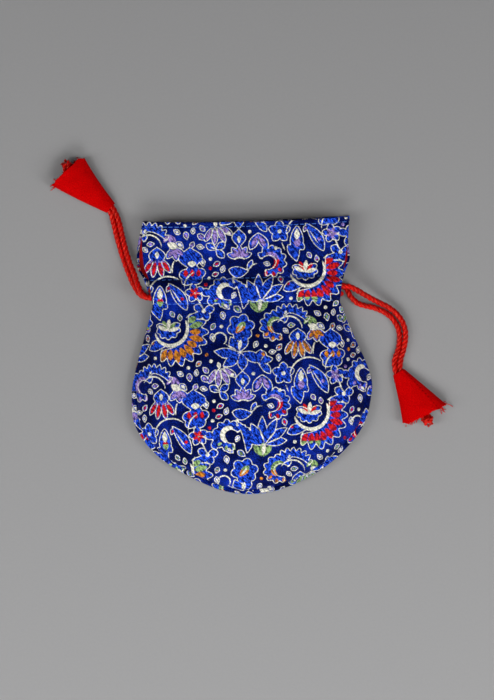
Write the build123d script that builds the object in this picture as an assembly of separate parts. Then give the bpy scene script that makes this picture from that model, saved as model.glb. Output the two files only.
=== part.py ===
from build123d import *

import math
import os

# A lined drawstring pouch of woven brocade, lying on its back and closed flat. X runs across it,
# +Y towards its mouth and +Z up, away from the surface it lies on. The origin is under the middle
# of the cloth bag. Lengths are millimetres.

# Cloth and cord
BROCADE = 0.5
LINING = 0.3
PLY_GAP = 0.05
BELLY_PLY_GAP = 0.15
CORD_D = 2.2
CORD_CLEAR = 0.1
THREAD_W = 0.35
THREAD_H = 0.25

# Heights along the bag
BELLY_TOP_Y = 22.5
CASING_Y0 = 22.6
ROW_LOWER_Y = 23.3
ROW_UPPER_Y = 33.7
CASING_Y1 = 34.3
HEADER_Y0 = 34.5
HEM_DEPTH = 2.0
TOP_STITCH_Y = 57.4

# Levels, built up from the surface the bag lies on
MOUTH_GAP = 4.8
ROW_LIFT = 0.4
BACK_CORD_Z = BROCADE + CORD_CLEAR + CORD_D / 2
BACK_LINING_Z = BACK_CORD_Z + CORD_D / 2 + CORD_CLEAR
FRONT_LINING_Z = BACK_LINING_Z + LINING + MOUTH_GAP
FRONT_CORD_Z = FRONT_LINING_Z + LINING + CORD_CLEAR + CORD_D / 2
FRONT_CASING_Z = FRONT_CORD_Z + CORD_D / 2 + CORD_CLEAR
FRONT_FLAT_Z = FRONT_LINING_Z + LINING + PLY_GAP
FLAP_DROOP = 0.4
CASING_LINING_INSET = 3.0

# Swell of the belly
CROWN_Z = 16.8
CROWN_Y = -14.0
SEAM_Z = 4.1
BACK_ROLL_Z = 1.3
BACK_ROLL_WIDTH = 15.0
SHOULDER_BELLY = 26.0
SHOULDER_NECK = 8.0
SHOULDER_POWER = 2.2
SECTION_STEPS = 5
BELLY_STATIONS = [22.5, 19.0, 14.0, 7.0, -1.0, -10.0, -20.0, -30.0, -39.0, -46.0, -51.5, -55.5, -58.0, -59.3]

# Strings: each has its own lane in the casing
LANE_LEFT_STRING_Y = 26.1
LANE_RIGHT_STRING_Y = 29.5
LANE_WAVER = 0.3

# Tassels
CONE_WALL = 0.5
CONE_TIP_A = 2.95
CONE_TIP_B = 1.85
CONE_MOUTH_B = 3.8
TAIL_SPACING = 2.3
KNOT_D = 5.6
KNOT_SIDES = 12
KNOT_RINGS = [(-1.0, 0.6), (-0.5, 0.92), (0.0, 1.0), (0.5, 0.92), (1.0, 0.6)]
SWIVEL_GAP = 1.3

# The belly's edge, from the right of the neck round the bottom to the left of the neck
BELLY_EDGE = [
    (38.8, BELLY_TOP_Y),
    (44.4, 8.0),
    (50.4, -6.6),
    (51.65, -16.5),
    (47.0, -32.3),
    (34.1, -46.2),
    (18.0, -55.6),
    (1.5, -59.6),
    (-15.8, -57.1),
    (-37.8, -45.0),
    (-49.9, -30.5),
    (-51.65, -16.0),
    (-49.4, -3.6),
    (-45.3, 9.9),
    (-41.6, BELLY_TOP_Y),
]

FRONT_HEADER_SIDES = {"left": [(-43.7, 34.4), (-45.9, 40.0), (-46.4, 50.0)], "right": [(40.4, 34.4), (43.1, 50.0)]}
FRONT_HEADER_TOP = [(-44.9, 59.2), (0.0, 57.9), (43.5, 58.8)]
BACK_HEADER_SIDES = {"left": [(-45.6, 34.4), (-47.6, 40.0), (-47.2, 50.0)], "right": [(41.0, 34.4), (42.8, 50.0)]}
BACK_HEADER_TOP = [(-45.3, 59.4), (0.0, 58.7), (44.2, 59.6)]


def smoothstep(value):
    t = max(0.0, min(1.0, value))
    return t * t * (3 - 2 * t)


def belly_curve():
    return Spline(*BELLY_EDGE)


def edge_samples(count=240):
    curve = belly_curve()
    return [curve.position_at(i / count) for i in range(count + 1)]


EDGE = edge_samples()


def inside_belly(x, y):
    """Even-odd test against the edge, with the neck left open upwards."""
    ring = [(p.X, p.Y) for p in EDGE] + [(BELLY_EDGE[-1][0], 90.0), (BELLY_EDGE[0][0], 90.0)]
    odd = False
    for (x0, y0), (x1, y1) in zip(ring, ring[1:] + ring[:1]):
        if (y0 > y) != (y1 > y) and x < x0 + (y - y0) * (x1 - x0) / (y1 - y0):
            odd = not odd
    return odd


def edge_distance(x, y):
    """Distance to the sewn edge, negative outside it."""
    nearest = min(math.hypot(x - p.X, y - p.Y) for p in EDGE)
    return nearest if inside_belly(x, y) else -nearest


def shoulder(distance, width):
    """0 at the sewn edge, 1 from the width inwards, and a straight slope outside the edge."""
    if distance <= 0:
        return SHOULDER_POWER * distance / width
    return 1 - (1 - min(distance / width, 1)) ** SHOULDER_POWER


def front_height(x, y):
    """Top of the front panel."""
    toward_neck = (BELLY_TOP_Y - y) / (BELLY_TOP_Y - CROWN_Y)
    rise = math.sin(math.pi / 2 * max(0.0, min(1.0, toward_neck)))
    flat = FRONT_FLAT_Z + BROCADE
    crown = flat + (CROWN_Z - flat) * rise
    width = SHOULDER_NECK + (SHOULDER_BELLY - SHOULDER_NECK) * smoothstep(toward_neck)
    return SEAM_Z + (crown - SEAM_Z) * shoulder(edge_distance(x, y), width)


def back_height(x, y):
    """Underside of the back panel, which rolls up towards the sewn edge."""
    lift = BACK_ROLL_Z * (1 - smoothstep((y - 4) / 17))
    roll = 1 - shoulder(edge_distance(x, y), BACK_ROLL_WIDTH)
    return PLY_GAP + lift * roll


def belly_width(y):
    """Left and right ends of the belly at one y, on its sewn edge."""
    crossings = []
    for p, q in zip(EDGE, EDGE[1:]):
        if (p.Y - y) * (q.Y - y) <= 0 and p.Y != q.Y:
            crossings.append(p.X + (q.X - p.X) * (y - p.Y) / (q.Y - p.Y))
    return min(crossings), max(crossings)


def cross_section(height, y, top, thickness):
    """Closed section of one layer of cloth across the belly."""
    left, right = belly_width(y)
    middle, half = (left + right) / 2, (right - left) / 2
    xs = [middle + half * math.sin(math.pi / 2 * i / SECTION_STEPS) for i in range(-SECTION_STEPS, SECTION_STEPS + 1)]
    over = Spline(*[(x, y, height(x, y) + top) for x in xs])
    under = Spline(*[(x, y, height(x, y) + top - thickness) for x in reversed(xs)])
    return Wire([over, Line(over @ 1, under @ 0), under, Line(under @ 1, over @ 0)])


def cloth(height, top, thickness):
    """A layer of cloth under a height, with its top moved by the amount given."""
    sections = [cross_section(height, y, top, thickness) for y in BELLY_STATIONS]
    return Solid.make_loft(sections)


def front_panel():
    return cloth(front_height, 0, BROCADE)


def front_lining():
    return cloth(front_height, -BROCADE - BELLY_PLY_GAP, LINING)


def back_panel():
    return cloth(back_height, BROCADE, BROCADE)


def back_lining():
    return cloth(back_height, BROCADE + BELLY_PLY_GAP + LINING, LINING)


def casing_outline(inset):
    """Plan of the band between the two rows, from slit to slit."""
    left = [(-41.6 + inset, CASING_Y0), (-43.6 + inset, CASING_Y1)]
    right = [(40.4 - inset, CASING_Y1), (38.8 - inset, CASING_Y0)]
    return make_face(Polyline(*left, *right, close=True))


def band(profile, thickness, inset):
    """A strip of cloth, flat at both rows, whose underside follows a (y, z) profile."""
    over = [(y, z + thickness) for y, z in reversed(profile)]
    section = Plane.YZ.offset(-60) * make_face(Polyline(*profile, *over, close=True))
    return extrude(section, 120) & extrude(casing_outline(inset), 20)


def front_casing():
    return band(
        [
            (CASING_Y0, FRONT_FLAT_Z),
            (ROW_LOWER_Y + 0.4, FRONT_FLAT_Z),
            (24.5, FRONT_FLAT_Z + 1.4),
            (25.4, FRONT_CASING_Z),
            (27.8, FRONT_CASING_Z + 0.15),
            (30.5, FRONT_CASING_Z),
            (31.5, FRONT_FLAT_Z + 1.4),
            (ROW_UPPER_Y - 0.5, FRONT_FLAT_Z),
            (CASING_Y1, FRONT_FLAT_Z),
        ],
        BROCADE,
        0,
    )


def front_casing_lining():
    plan = extrude(casing_outline(CASING_LINING_INSET), LINING)
    return plan.moved(Location((0, 0, FRONT_LINING_Z)))


def back_casing():
    return band(
        [
            (CASING_Y0, ROW_LIFT),
            (ROW_LOWER_Y + 0.4, ROW_LIFT),
            (24.7, 0.1),
            (26.2, 0.0),
            (29.6, 0.0),
            (31.9, 0.1),
            (ROW_UPPER_Y - 0.5, ROW_LIFT),
            (CASING_Y1, ROW_LIFT),
        ],
        BROCADE - 0.1,
        0,
    )


def back_casing_lining():
    low = ROW_LIFT + BROCADE + PLY_GAP
    return band(
        [
            (CASING_Y0, low),
            (ROW_LOWER_Y + 0.3, low),
            (24.5, low + 1.1),
            (25.4, BACK_LINING_Z),
            (27.8, BACK_LINING_Z + 0.1),
            (30.5, BACK_LINING_Z),
            (31.5, low + 1.1),
            (ROW_UPPER_Y - 0.5, low),
            (CASING_Y1, low),
        ],
        LINING,
        CASING_LINING_INSET,
    )


def header_plan(sides, top, drop=0.0, inset=0.0):
    """Plan of one flap above the casing. Drop lowers its top edge, for the lining."""
    left = [(x + inset, y) for x, y in sides["left"]]
    right = [(x - inset, y) for x, y in reversed(sides["right"])]
    ends = [(top[0][0] + inset, top[0][1] - drop), (top[1][0], top[1][1] - drop), (top[2][0] - inset, top[2][1] - drop)]
    left_edge = Spline(*left, ends[0])
    top_edge = ThreePointArc(*ends)
    right_edge = Spline(ends[2], *right)
    return make_face([left_edge, top_edge, right_edge, Line(right[-1], left[0])])


def flap(section, plan):
    """A flap from its (y, z) section, cut to its plan and kept clear of the hinge line."""
    solid = extrude(Plane.YZ.offset(-60) * make_face(Polyline(*section, close=True)), 120)
    return solid & extrude(plan, 20) & Pos(0, HEADER_Y0 + 30, 10) * Box(120, 60, 40)


def front_header():
    low = FRONT_FLAT_Z
    tip = FRONT_FLAT_Z - FLAP_DROOP
    hem = tip - PLY_GAP - LINING
    hem_y = FRONT_HEADER_TOP[1][1] - HEM_DEPTH
    section = [
        (HEADER_Y0 - 1, low),
        (hem_y, tip),
        (hem_y, hem),
        (62.0, hem),
        (62.0, tip + BROCADE),
        (hem_y, tip + BROCADE),
        (HEADER_Y0 - 1, low + BROCADE),
    ]
    return flap(section, header_plan(FRONT_HEADER_SIDES, FRONT_HEADER_TOP))


def front_header_lining():
    low = FRONT_LINING_Z
    tip = FRONT_LINING_Z - FLAP_DROOP
    end_y = FRONT_HEADER_TOP[1][1] - HEM_DEPTH - 0.1
    section = [(HEADER_Y0 - 1, low), (end_y, tip), (end_y, tip + LINING), (HEADER_Y0 - 1, low + LINING)]
    return flap(section, header_plan(FRONT_HEADER_SIDES, FRONT_HEADER_TOP, inset=0.5))


def back_header():
    hem_y = BACK_HEADER_TOP[1][1] - HEM_DEPTH
    section = [
        (HEADER_Y0 - 1, 0),
        (62.0, 0),
        (62.0, BROCADE + PLY_GAP + LINING),
        (hem_y, BROCADE + PLY_GAP + LINING),
        (hem_y, BROCADE),
        (HEADER_Y0 - 1, BROCADE),
    ]
    return flap(section, header_plan(BACK_HEADER_SIDES, BACK_HEADER_TOP))


def back_header_lining():
    low = BROCADE + PLY_GAP
    end_y = BACK_HEADER_TOP[1][1] - HEM_DEPTH - 0.1
    section = [(HEADER_Y0 - 1, low), (end_y, low), (end_y, low + LINING), (HEADER_Y0 - 1, low + LINING)]
    return flap(section, header_plan(BACK_HEADER_SIDES, BACK_HEADER_TOP, inset=0.5))


def stitch_row(x0, x1, y, z, pitch=2.6, length=1.9):
    """Separate stitches of sewing thread in a straight row."""
    count = int((x1 - x0) / pitch)
    start = (x0 + x1 - (count - 1) * pitch) / 2
    stitches = [Pos(start + i * pitch, y, z + THREAD_H / 2) * Box(length, THREAD_W, THREAD_H) for i in range(count)]
    return Compound(children=stitches)


def front_row_z():
    return FRONT_FLAT_Z + BROCADE + 0.03


def front_casing_stitching_lower():
    return stitch_row(-40.5, 37.8, ROW_LOWER_Y, front_row_z())


def front_casing_stitching_upper():
    return stitch_row(-42.5, 39.4, ROW_UPPER_Y + 0.1, front_row_z())


def back_casing_stitching_lower():
    return stitch_row(-40.5, 37.8, ROW_LOWER_Y, ROW_LIFT - THREAD_H - 0.05)


def back_casing_stitching_upper():
    return stitch_row(-42.5, 39.4, ROW_UPPER_Y + 0.1, ROW_LIFT - THREAD_H - 0.05)


def front_top_stitching():
    return stitch_row(-44.0, 42.0, TOP_STITCH_Y - 0.8, FRONT_FLAT_Z - FLAP_DROOP + BROCADE + 0.03)


def back_top_stitching():
    return stitch_row(-44.0, 42.0, TOP_STITCH_Y, BROCADE + PLY_GAP + LINING + 0.03)


def seam_stitching():
    """Stitches just inside the sewn edge, between the two linings."""
    curve = belly_curve()
    count = 76
    stitches = []
    for i in range(2, count - 1):
        t = i / count
        tangent = curve.tangent_at(t)
        place = curve.position_at(t) + Vector(tangent.Y, -tangent.X) * 1.1
        turn = math.degrees(math.atan2(tangent.Y, tangent.X))
        stitches.append(Pos(place.X, place.Y, 2.9) * Rot(0, 0, turn) * Box(1.9, THREAD_W, 0.2))
    return Compound(children=stitches)


def cord(name, points):
    """A round cord along straight runs joined by arcs as large as the runs allow."""
    points = [Vector(*p) for p in points]
    runs = [b - a for a, b in zip(points, points[1:])]
    radii = []
    for before, after in zip(runs, runs[1:]):
        half_turn = math.radians(before.get_angle(after)) / 2
        radii.append(0.45 * min(before.length, after.length) / math.tan(half_turn))
    path = FilletPolyline(*points, radius=radii)
    section = Plane(origin=path @ 0, z_dir=path % 0) * Circle(CORD_D / 2)
    tube = sweep(section, path=path)
    expected = math.pi * CORD_D**2 / 4 * path.length
    print(name, "length", round(path.length, 1), "radii", [round(r, 1) for r in radii])
    print(name, "runs", [round(r.length, 1) for r in runs])
    print(name, "volume", round(tube.volume, 1), "section x length", round(expected, 1))
    return tube


def lane(y, x0, x1, z):
    """The stretch inside one side of the casing, which wavers a little across its width."""
    shares = [0.13, 0.35, 0.62, 0.85]
    return [(x0 + (x1 - x0) * s, y + LANE_WAVER * (i % 2), z) for i, s in enumerate(shares)]


def drawstring_left():
    y = LANE_LEFT_STRING_Y
    slit, turn = -45.2, 39.6
    front_leg = [
        (-56.0, 61.8, 1.7),
        (-55.0, 56.2, 1.9),
        (-53.7, 49.8, 2.7),
        (-51.8, 42.4, 3.4),
        (-49.3, 36.6, 4.9),
        (-47.9, 31.2, 7.6),
        (slit, y, FRONT_CORD_Z),
    ]
    back_leg = [
        (slit, y, BACK_CORD_Z),
        (-48.7, 29.3, 1.6),
        (-51.4, 34.7, 1.3),
        (-54.0, 41.7, 1.2),
        (-56.3, 49.2, 1.25),
        (-57.7, 55.4, 1.2),
        (-58.4, 61.3, 1.6),
    ]
    over = lane(y, slit, turn, FRONT_CORD_Z)
    under = lane(y, turn, slit, BACK_CORD_Z)
    bend = [(turn, y, FRONT_CORD_Z), (turn, y, BACK_CORD_Z)]
    return cord("drawstring_left", front_leg + over + bend + under + back_leg)


def drawstring_right():
    y = LANE_RIGHT_STRING_Y
    slit, turn = 42.4, -42.6
    front_leg = [
        (64.5, -4.0, 1.7),
        (66.6, 1.4, 1.7),
        (67.7, 7.6, 2.1),
        (66.4, 13.6, 2.6),
        (61.8, 19.0, 3.0),
        (56.2, 22.4, 3.8),
        (50.2, 25.6, 5.8),
        (46.6, 28.2, 8.4),
        (slit, y, FRONT_CORD_Z),
    ]
    back_leg = [
        (slit, y, BACK_CORD_Z),
        (45.6, 26.6, 1.6),
        (50.2, 22.5, 1.4),
        (55.4, 19.8, 1.2),
        (60.8, 16.0, 1.2),
        (64.3, 10.6, 1.3),
        (64.3, 4.6, 1.2),
        (63.5, 0.2, 1.3),
        (62.0, -3.8, 1.6),
    ]
    over = lane(y, slit, turn, FRONT_CORD_Z)
    under = lane(y, turn, slit, BACK_CORD_Z)
    bend = [(turn, y, FRONT_CORD_Z), (turn, y, BACK_CORD_Z)]
    return cord("drawstring_right", front_leg + over + bend + under + back_leg)


TASSELS = {
    "left": {
        "pivot": (-57.4, 62.8),
        "tip": (-59.2, 65.8),
        "mouth": (-77.7, 82.4),
        "mouth_a": 9.4,
        "knot": (-77.2, 84.4, 3.5),
    },
    "right": {
        "pivot": (63.1, -5.2),
        "tip": (63.8, -8.6),
        "mouth": (74.8, -27.6),
        "mouth_a": 10.4,
        "knot": (75.8, -29.6, 3.5),
    },
}


def cone_sections(side, shrink, extra):
    """Ellipse at the tip and at the mouth, the outer ones or the hollow's."""
    place = TASSELS[side]
    tip = Vector(*place["tip"])
    mouth = Vector(*place["mouth"])
    axis = (mouth - tip).normalized()
    across = Vector(-axis.Y, axis.X)
    ends = [
        (tip - axis * extra, CONE_TIP_A, CONE_TIP_B, CONE_TIP_B),
        (mouth + axis * extra, place["mouth_a"], CONE_MOUTH_B, CONE_MOUTH_B),
    ]
    return [
        Plane(origin=Vector(p.X, p.Y, z), x_dir=across, z_dir=axis) * Ellipse(a - shrink, b - shrink)
        for p, a, b, z in ends
    ]


def tassel_cone(side):
    outer = loft(cone_sections(side, 0, 0))
    hollow = loft(cone_sections(side, CONE_WALL, 0.05))
    return outer - hollow


def cord_tail(side):
    """The two ends of the string from where it flexes, through the cone's tip, to the knot."""
    place = TASSELS[side]
    flex = Vector(*place["pivot"], CONE_TIP_B)
    tip = Vector(*place["tip"], CONE_TIP_B)
    knot_middle = Vector(*place["knot"])
    inward = (tip - flex).normalized()
    along = (knot_middle - tip).normalized()
    stops = [flex + inward * SWIVEL_GAP, tip, knot_middle - along * KNOT_D / 4]
    headings = [inward, (inward + along).normalized(), along]
    tails = []
    for sign in (-1, 1):
        points = []
        for stop, heading in zip(stops, headings):
            across = Vector(-heading.Y, heading.X).normalized()
            points.append(stop + across * sign * TAIL_SPACING / 2)
        path = FilletPolyline(*points, radius=CORD_D)
        section = Plane(origin=path @ 0, z_dir=path % 0) * Circle(CORD_D / 2)
        tails.append(sweep(section, path=path))
    return Compound(children=tails)


def knot(side):
    """Both ends tied in one overhand knot: a faceted barrel along the string."""
    place = TASSELS[side]
    middle = Vector(*place["knot"])
    axis = (middle - Vector(*place["tip"], CONE_TIP_B)).normalized()
    half = KNOT_D / 2
    sections = [
        Plane(origin=middle + axis * half * along, z_dir=axis) * RegularPolygon(half * share, KNOT_SIDES)
        for along, share in KNOT_RINGS
    ]
    return loft(sections, ruled=True)


NODES = {
    "front_panel": front_panel,
    "back_panel": back_panel,
    "front_lining": front_lining,
    "back_lining": back_lining,
    "front_casing": front_casing,
    "back_casing": back_casing,
    "front_casing_lining": front_casing_lining,
    "back_casing_lining": back_casing_lining,
    "front_header": front_header,
    "back_header": back_header,
    "front_header_lining": front_header_lining,
    "back_header_lining": back_header_lining,
    "front_casing_stitching_lower": front_casing_stitching_lower,
    "front_casing_stitching_upper": front_casing_stitching_upper,
    "back_casing_stitching_lower": back_casing_stitching_lower,
    "back_casing_stitching_upper": back_casing_stitching_upper,
    "front_top_stitching": front_top_stitching,
    "back_top_stitching": back_top_stitching,
    "seam_stitching": seam_stitching,
    "drawstring_left": drawstring_left,
    "drawstring_right": drawstring_right,
}

os.makedirs("parts", exist_ok=True)
for node, make in NODES.items():
    export_step(make(), f"parts/{node}.step")
for side in TASSELS:
    export_step(tassel_cone(side), f"parts/tassel_cone_{side}.step")
    export_step(cord_tail(side), f"parts/cord_tail_{side}.step")
    export_step(knot(side), f"parts/knot_{side}.step")
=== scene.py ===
"""A small drawstring pouch of woven brocade, lying on its back with its two tassels spread out.

Every length in the classes below is in millimetres; meshes are written in metres.
"""

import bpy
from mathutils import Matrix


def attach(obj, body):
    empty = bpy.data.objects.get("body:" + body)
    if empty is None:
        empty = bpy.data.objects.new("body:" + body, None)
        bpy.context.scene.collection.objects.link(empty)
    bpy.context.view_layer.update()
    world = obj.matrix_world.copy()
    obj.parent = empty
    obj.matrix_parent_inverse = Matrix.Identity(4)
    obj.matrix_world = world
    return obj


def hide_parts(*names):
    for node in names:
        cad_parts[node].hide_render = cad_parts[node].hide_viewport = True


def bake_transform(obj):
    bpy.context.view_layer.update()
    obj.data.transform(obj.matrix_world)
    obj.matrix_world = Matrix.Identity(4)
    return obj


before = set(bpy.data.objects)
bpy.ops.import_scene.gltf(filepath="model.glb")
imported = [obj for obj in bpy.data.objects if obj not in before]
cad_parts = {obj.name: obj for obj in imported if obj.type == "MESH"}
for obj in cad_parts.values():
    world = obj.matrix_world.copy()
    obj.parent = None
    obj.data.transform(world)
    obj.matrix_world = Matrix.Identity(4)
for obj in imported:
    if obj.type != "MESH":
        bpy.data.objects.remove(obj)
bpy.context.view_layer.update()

import logging
import math
from dataclasses import dataclass, field
from enum import Enum

import bpy
import numpy as np
from mathutils import Vector

logging.basicConfig(level=logging.INFO, format="%(message)s")
LOG = logging.getLogger("pouch")

MM = 0.001
SEED = 41


class Face(Enum):
    """Which side of the bag a piece of cloth belongs to."""

    FRONT = "front"
    BACK = "back"


class Side(Enum):
    """Which side a string is pulled from."""

    LEFT = "left"
    RIGHT = "right"


class Band(Enum):
    """Colours of the accent wefts, in the order in which they change up the cloth."""

    RED = (0.72, 0.014, 0.004, 1.0)
    LILAC = (0.42, 0.28, 0.72, 1.0)
    ORANGE = (0.78, 0.27, 0.010, 1.0)
    GREEN = (0.32, 0.50, 0.17, 1.0)

    @property
    def start(self) -> float:
        """Where the band starts, as a share of the repeat."""
        return {Band.RED: 0.0, Band.LILAC: 0.27, Band.ORANGE: 0.53, Band.GREEN: 0.8}[self]


def smoothstep(value: np.ndarray) -> np.ndarray:
    """Smooth ramp from 0 to 1 of a value clipped to that range."""
    t = np.clip(value, 0.0, 1.0)
    return t * t * (3 - 2 * t)


def soft_noise(x: np.ndarray, y: np.ndarray, size: float, seed: int, octaves: int = 3) -> np.ndarray:
    """Smooth random hills over a plane, made of seeded waves.

    Args:
        x: Positions across, in mm.
        y: Positions along, in mm.
        size: Width of the widest hills, in mm.
        seed: Number that fixes the waves.
        octaves: How many finer sets of waves are added.

    Returns:
        Heights of about -1 to 1.
    """
    rng = np.random.default_rng(seed)
    total = np.zeros(np.broadcast(x, y).shape)
    share = 1.0
    for octave in range(octaves):
        for _ in range(5):
            turn = rng.uniform(0, math.tau)
            pitch = size * rng.uniform(0.8, 1.6) / 2**octave
            phase = rng.uniform(0, math.tau)
            total += share * np.sin(math.tau * (x * math.cos(turn) + y * math.sin(turn)) / pitch + phase)
        share *= 0.5
    return total / 4.0


def smooth_curve(points: list[tuple[float, float]], count: int) -> np.ndarray:
    """Points spread evenly along a smooth curve through the given ones.

    Args:
        points: Places that the curve passes through.
        count: How many points to return.

    Returns:
        An array of count points.
    """
    knots = np.array(points, float)
    padded = np.vstack([2 * knots[0] - knots[1], knots, 2 * knots[-1] - knots[-2]])
    fine = []
    for before, here, there, after in zip(padded, padded[1:], padded[2:], padded[3:]):
        for t in np.linspace(0, 1, 24, endpoint=False):
            fine.append(
                0.5
                * (
                    2 * here
                    + (there - before) * t
                    + (2 * before - 5 * here + 4 * there - after) * t**2
                    + (3 * here - before - 3 * there + after) * t**3
                )
            )
    fine = np.array(fine + [knots[-1]])
    run = np.concatenate([[0], np.cumsum(np.linalg.norm(np.diff(fine, axis=0), axis=1))])
    wanted = np.linspace(0, run[-1], count)
    return np.stack([np.interp(wanted, run, fine[:, i]) for i in range(fine.shape[1])], 1)


def mesh_object(
    name: str, vertices: np.ndarray, faces: list, material: bpy.types.Material
) -> bpy.types.Object:
    """Makes a smooth-shaded object from vertices in mm.

    Args:
        name: Name of the piece.
        vertices: Array of points, in mm.
        faces: Tuples of vertex numbers.
        material: Finish of the piece.

    Returns:
        The new object, linked to the scene.
    """
    mesh = bpy.data.meshes.new(name)
    mesh.from_pydata((np.asarray(vertices) * MM).tolist(), [], faces)
    mesh.polygons.foreach_set("use_smooth", np.ones(len(mesh.polygons), bool))
    mesh.materials.append(material)
    mesh.update()
    piece = bpy.data.objects.new(name, mesh)
    bpy.context.scene.collection.objects.link(piece)
    return piece


def grid_faces(rows: int, columns: int, closed: bool = False, flip: bool = False) -> list[tuple[int, ...]]:
    """Quads of a grid of points kept row by row.

    Args:
        rows: Number of rows.
        columns: Number of points in each row.
        closed: Whether each row joins its own start.
        flip: Whether the faces look the other way.

    Returns:
        Tuples of four vertex numbers.
    """
    across = columns if closed else columns - 1
    row, column = np.meshgrid(np.arange(rows - 1), np.arange(across), indexing="ij")
    after = (column + 1) % columns
    here, there = row * columns, (row + 1) * columns
    quads = np.stack([here + column, here + after, there + after, there + column], -1)
    if flip:
        quads = quads[..., ::-1]
    return [tuple(q) for q in quads.reshape(-1, 4).tolist()]


def float_attribute(piece: bpy.types.Object, name: str, values: np.ndarray) -> None:
    """Writes one number per vertex for a material to read."""
    layer = piece.data.attributes.new(name, "FLOAT", "POINT")
    layer.data.foreach_set("value", np.ascontiguousarray(values, np.float32).ravel())


def vector_attribute(piece: bpy.types.Object, name: str, values: np.ndarray) -> None:
    """Writes one vector per vertex for a material to read."""
    layer = piece.data.attributes.new(name, "FLOAT_VECTOR", "POINT")
    layer.data.foreach_set("vector", np.ascontiguousarray(values, np.float32).ravel())


# ---------------------------------------------------------------- shader helpers


class NodeSheet:
    """A node tree with short calls that add and join its nodes."""

    def __init__(self, tree: bpy.types.NodeTree) -> None:
        """Keeps the tree to be filled."""
        self.tree = tree

    def add(self, kind: str, **settings: object) -> bpy.types.Node:
        """Adds a node and sets its properties.

        Args:
            kind: The node's type name.
            **settings: Properties to set on it.

        Returns:
            The new node.
        """
        node = self.tree.nodes.new(kind)
        for key, value in settings.items():
            setattr(node, key, value)
        return node

    def feed(self, socket: bpy.types.NodeSocket, value: object) -> None:
        """Links an output to a socket, or sets the socket's own value."""
        if isinstance(value, bpy.types.NodeSocket):
            self.tree.links.new(value, socket)
        else:
            socket.default_value = value

    def math(self, operation: str, *values: object) -> bpy.types.NodeSocket:
        """Adds a Math node and returns its result."""
        node = self.add("ShaderNodeMath", operation=operation)
        for socket, value in zip(node.inputs, values):
            self.feed(socket, value)
        return node.outputs[0]

    def ramp(
        self, value: object, low: float, high: float, out_low: float = 0.0, out_high: float = 1.0
    ) -> bpy.types.NodeSocket:
        """Smooth step of a value between two levels.

        Args:
            value: Output or number to map.
            low: Level that gives out_low.
            high: Level that gives out_high.
            out_low: Result at the low level.
            out_high: Result at the high level.

        Returns:
            The mapped value.
        """
        node = self.add("ShaderNodeMapRange", interpolation_type="SMOOTHSTEP")
        for socket, number in zip(node.inputs, (value, low, high, out_low, out_high)):
            self.feed(socket, number)
        return node.outputs[0]

    def mix(self, factor: object, first: object, second: object, blend: str = "MIX") -> bpy.types.NodeSocket:
        """Mixes two colours.

        Args:
            factor: Share of the second colour.
            first: First colour.
            second: Second colour.
            blend: How the two are combined.

        Returns:
            The mixed colour.
        """
        node = self.add("ShaderNodeMix", data_type="RGBA", blend_type=blend)
        self.feed(node.inputs[0], factor)
        self.feed(node.inputs[6], first)
        self.feed(node.inputs[7], second)
        return node.outputs[2]

    def noise(
        self, place: object, scale: float, detail: float = 2.0, roughness: float = 0.5
    ) -> bpy.types.NodeSocket:
        """Noise value at a place, between 0 and 1."""
        node = self.add("ShaderNodeTexNoise")
        self.feed(node.inputs["Vector"], place)
        node.inputs["Scale"].default_value = scale
        node.inputs["Detail"].default_value = detail
        node.inputs["Roughness"].default_value = roughness
        return node.outputs[0]

    def stretch(
        self, place: object, scale: tuple[float, float, float], turn: float = 0.0
    ) -> bpy.types.NodeSocket:
        """Turned and scaled copy of a place.

        Args:
            place: Output with the place.
            scale: Factor along each axis, after the turn.
            turn: Turn about Z, in radians.

        Returns:
            The changed place.
        """
        spin = self.add("ShaderNodeVectorRotate", rotation_type="Z_AXIS")
        self.feed(spin.inputs["Vector"], place)
        spin.inputs["Angle"].default_value = turn
        node = self.add("ShaderNodeVectorMath", operation="MULTIPLY")
        self.feed(node.inputs[0], spin.outputs[0])
        node.inputs[1].default_value = scale
        return node.outputs[0]

    def attribute(self, name: str, vector: bool = False) -> bpy.types.NodeSocket:
        """Value that a mesh carries per vertex."""
        node = self.add("ShaderNodeAttribute", attribute_name=name)
        return node.outputs["Vector" if vector else "Fac"]


def node_group(name: str, inputs: list[tuple[str, str, object]], outputs: list[tuple[str, str]]) -> tuple:
    """Starts a shader group with named sockets.

    Args:
        name: Name of the group.
        inputs: Name, socket type and default of each input.
        outputs: Name and socket type of each output.

    Returns:
        The tree, its helper, its input sockets by name and its output node.
    """
    tree = bpy.data.node_groups.new(name, "ShaderNodeTree")
    for label, kind, default in inputs:
        socket = tree.interface.new_socket(label, in_out="INPUT", socket_type=kind)
        if default is not None:
            socket.default_value = default
    for label, kind in outputs:
        tree.interface.new_socket(label, in_out="OUTPUT", socket_type=kind)
    sheet = NodeSheet(tree)
    entry = sheet.add("NodeGroupInput")
    leave = sheet.add("NodeGroupOutput")
    return tree, sheet, {socket.name: socket for socket in entry.outputs}, leave


FLOAT_SOCKET = "NodeSocketFloat"
VECTOR_SOCKET = "NodeSocketVector"


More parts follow.
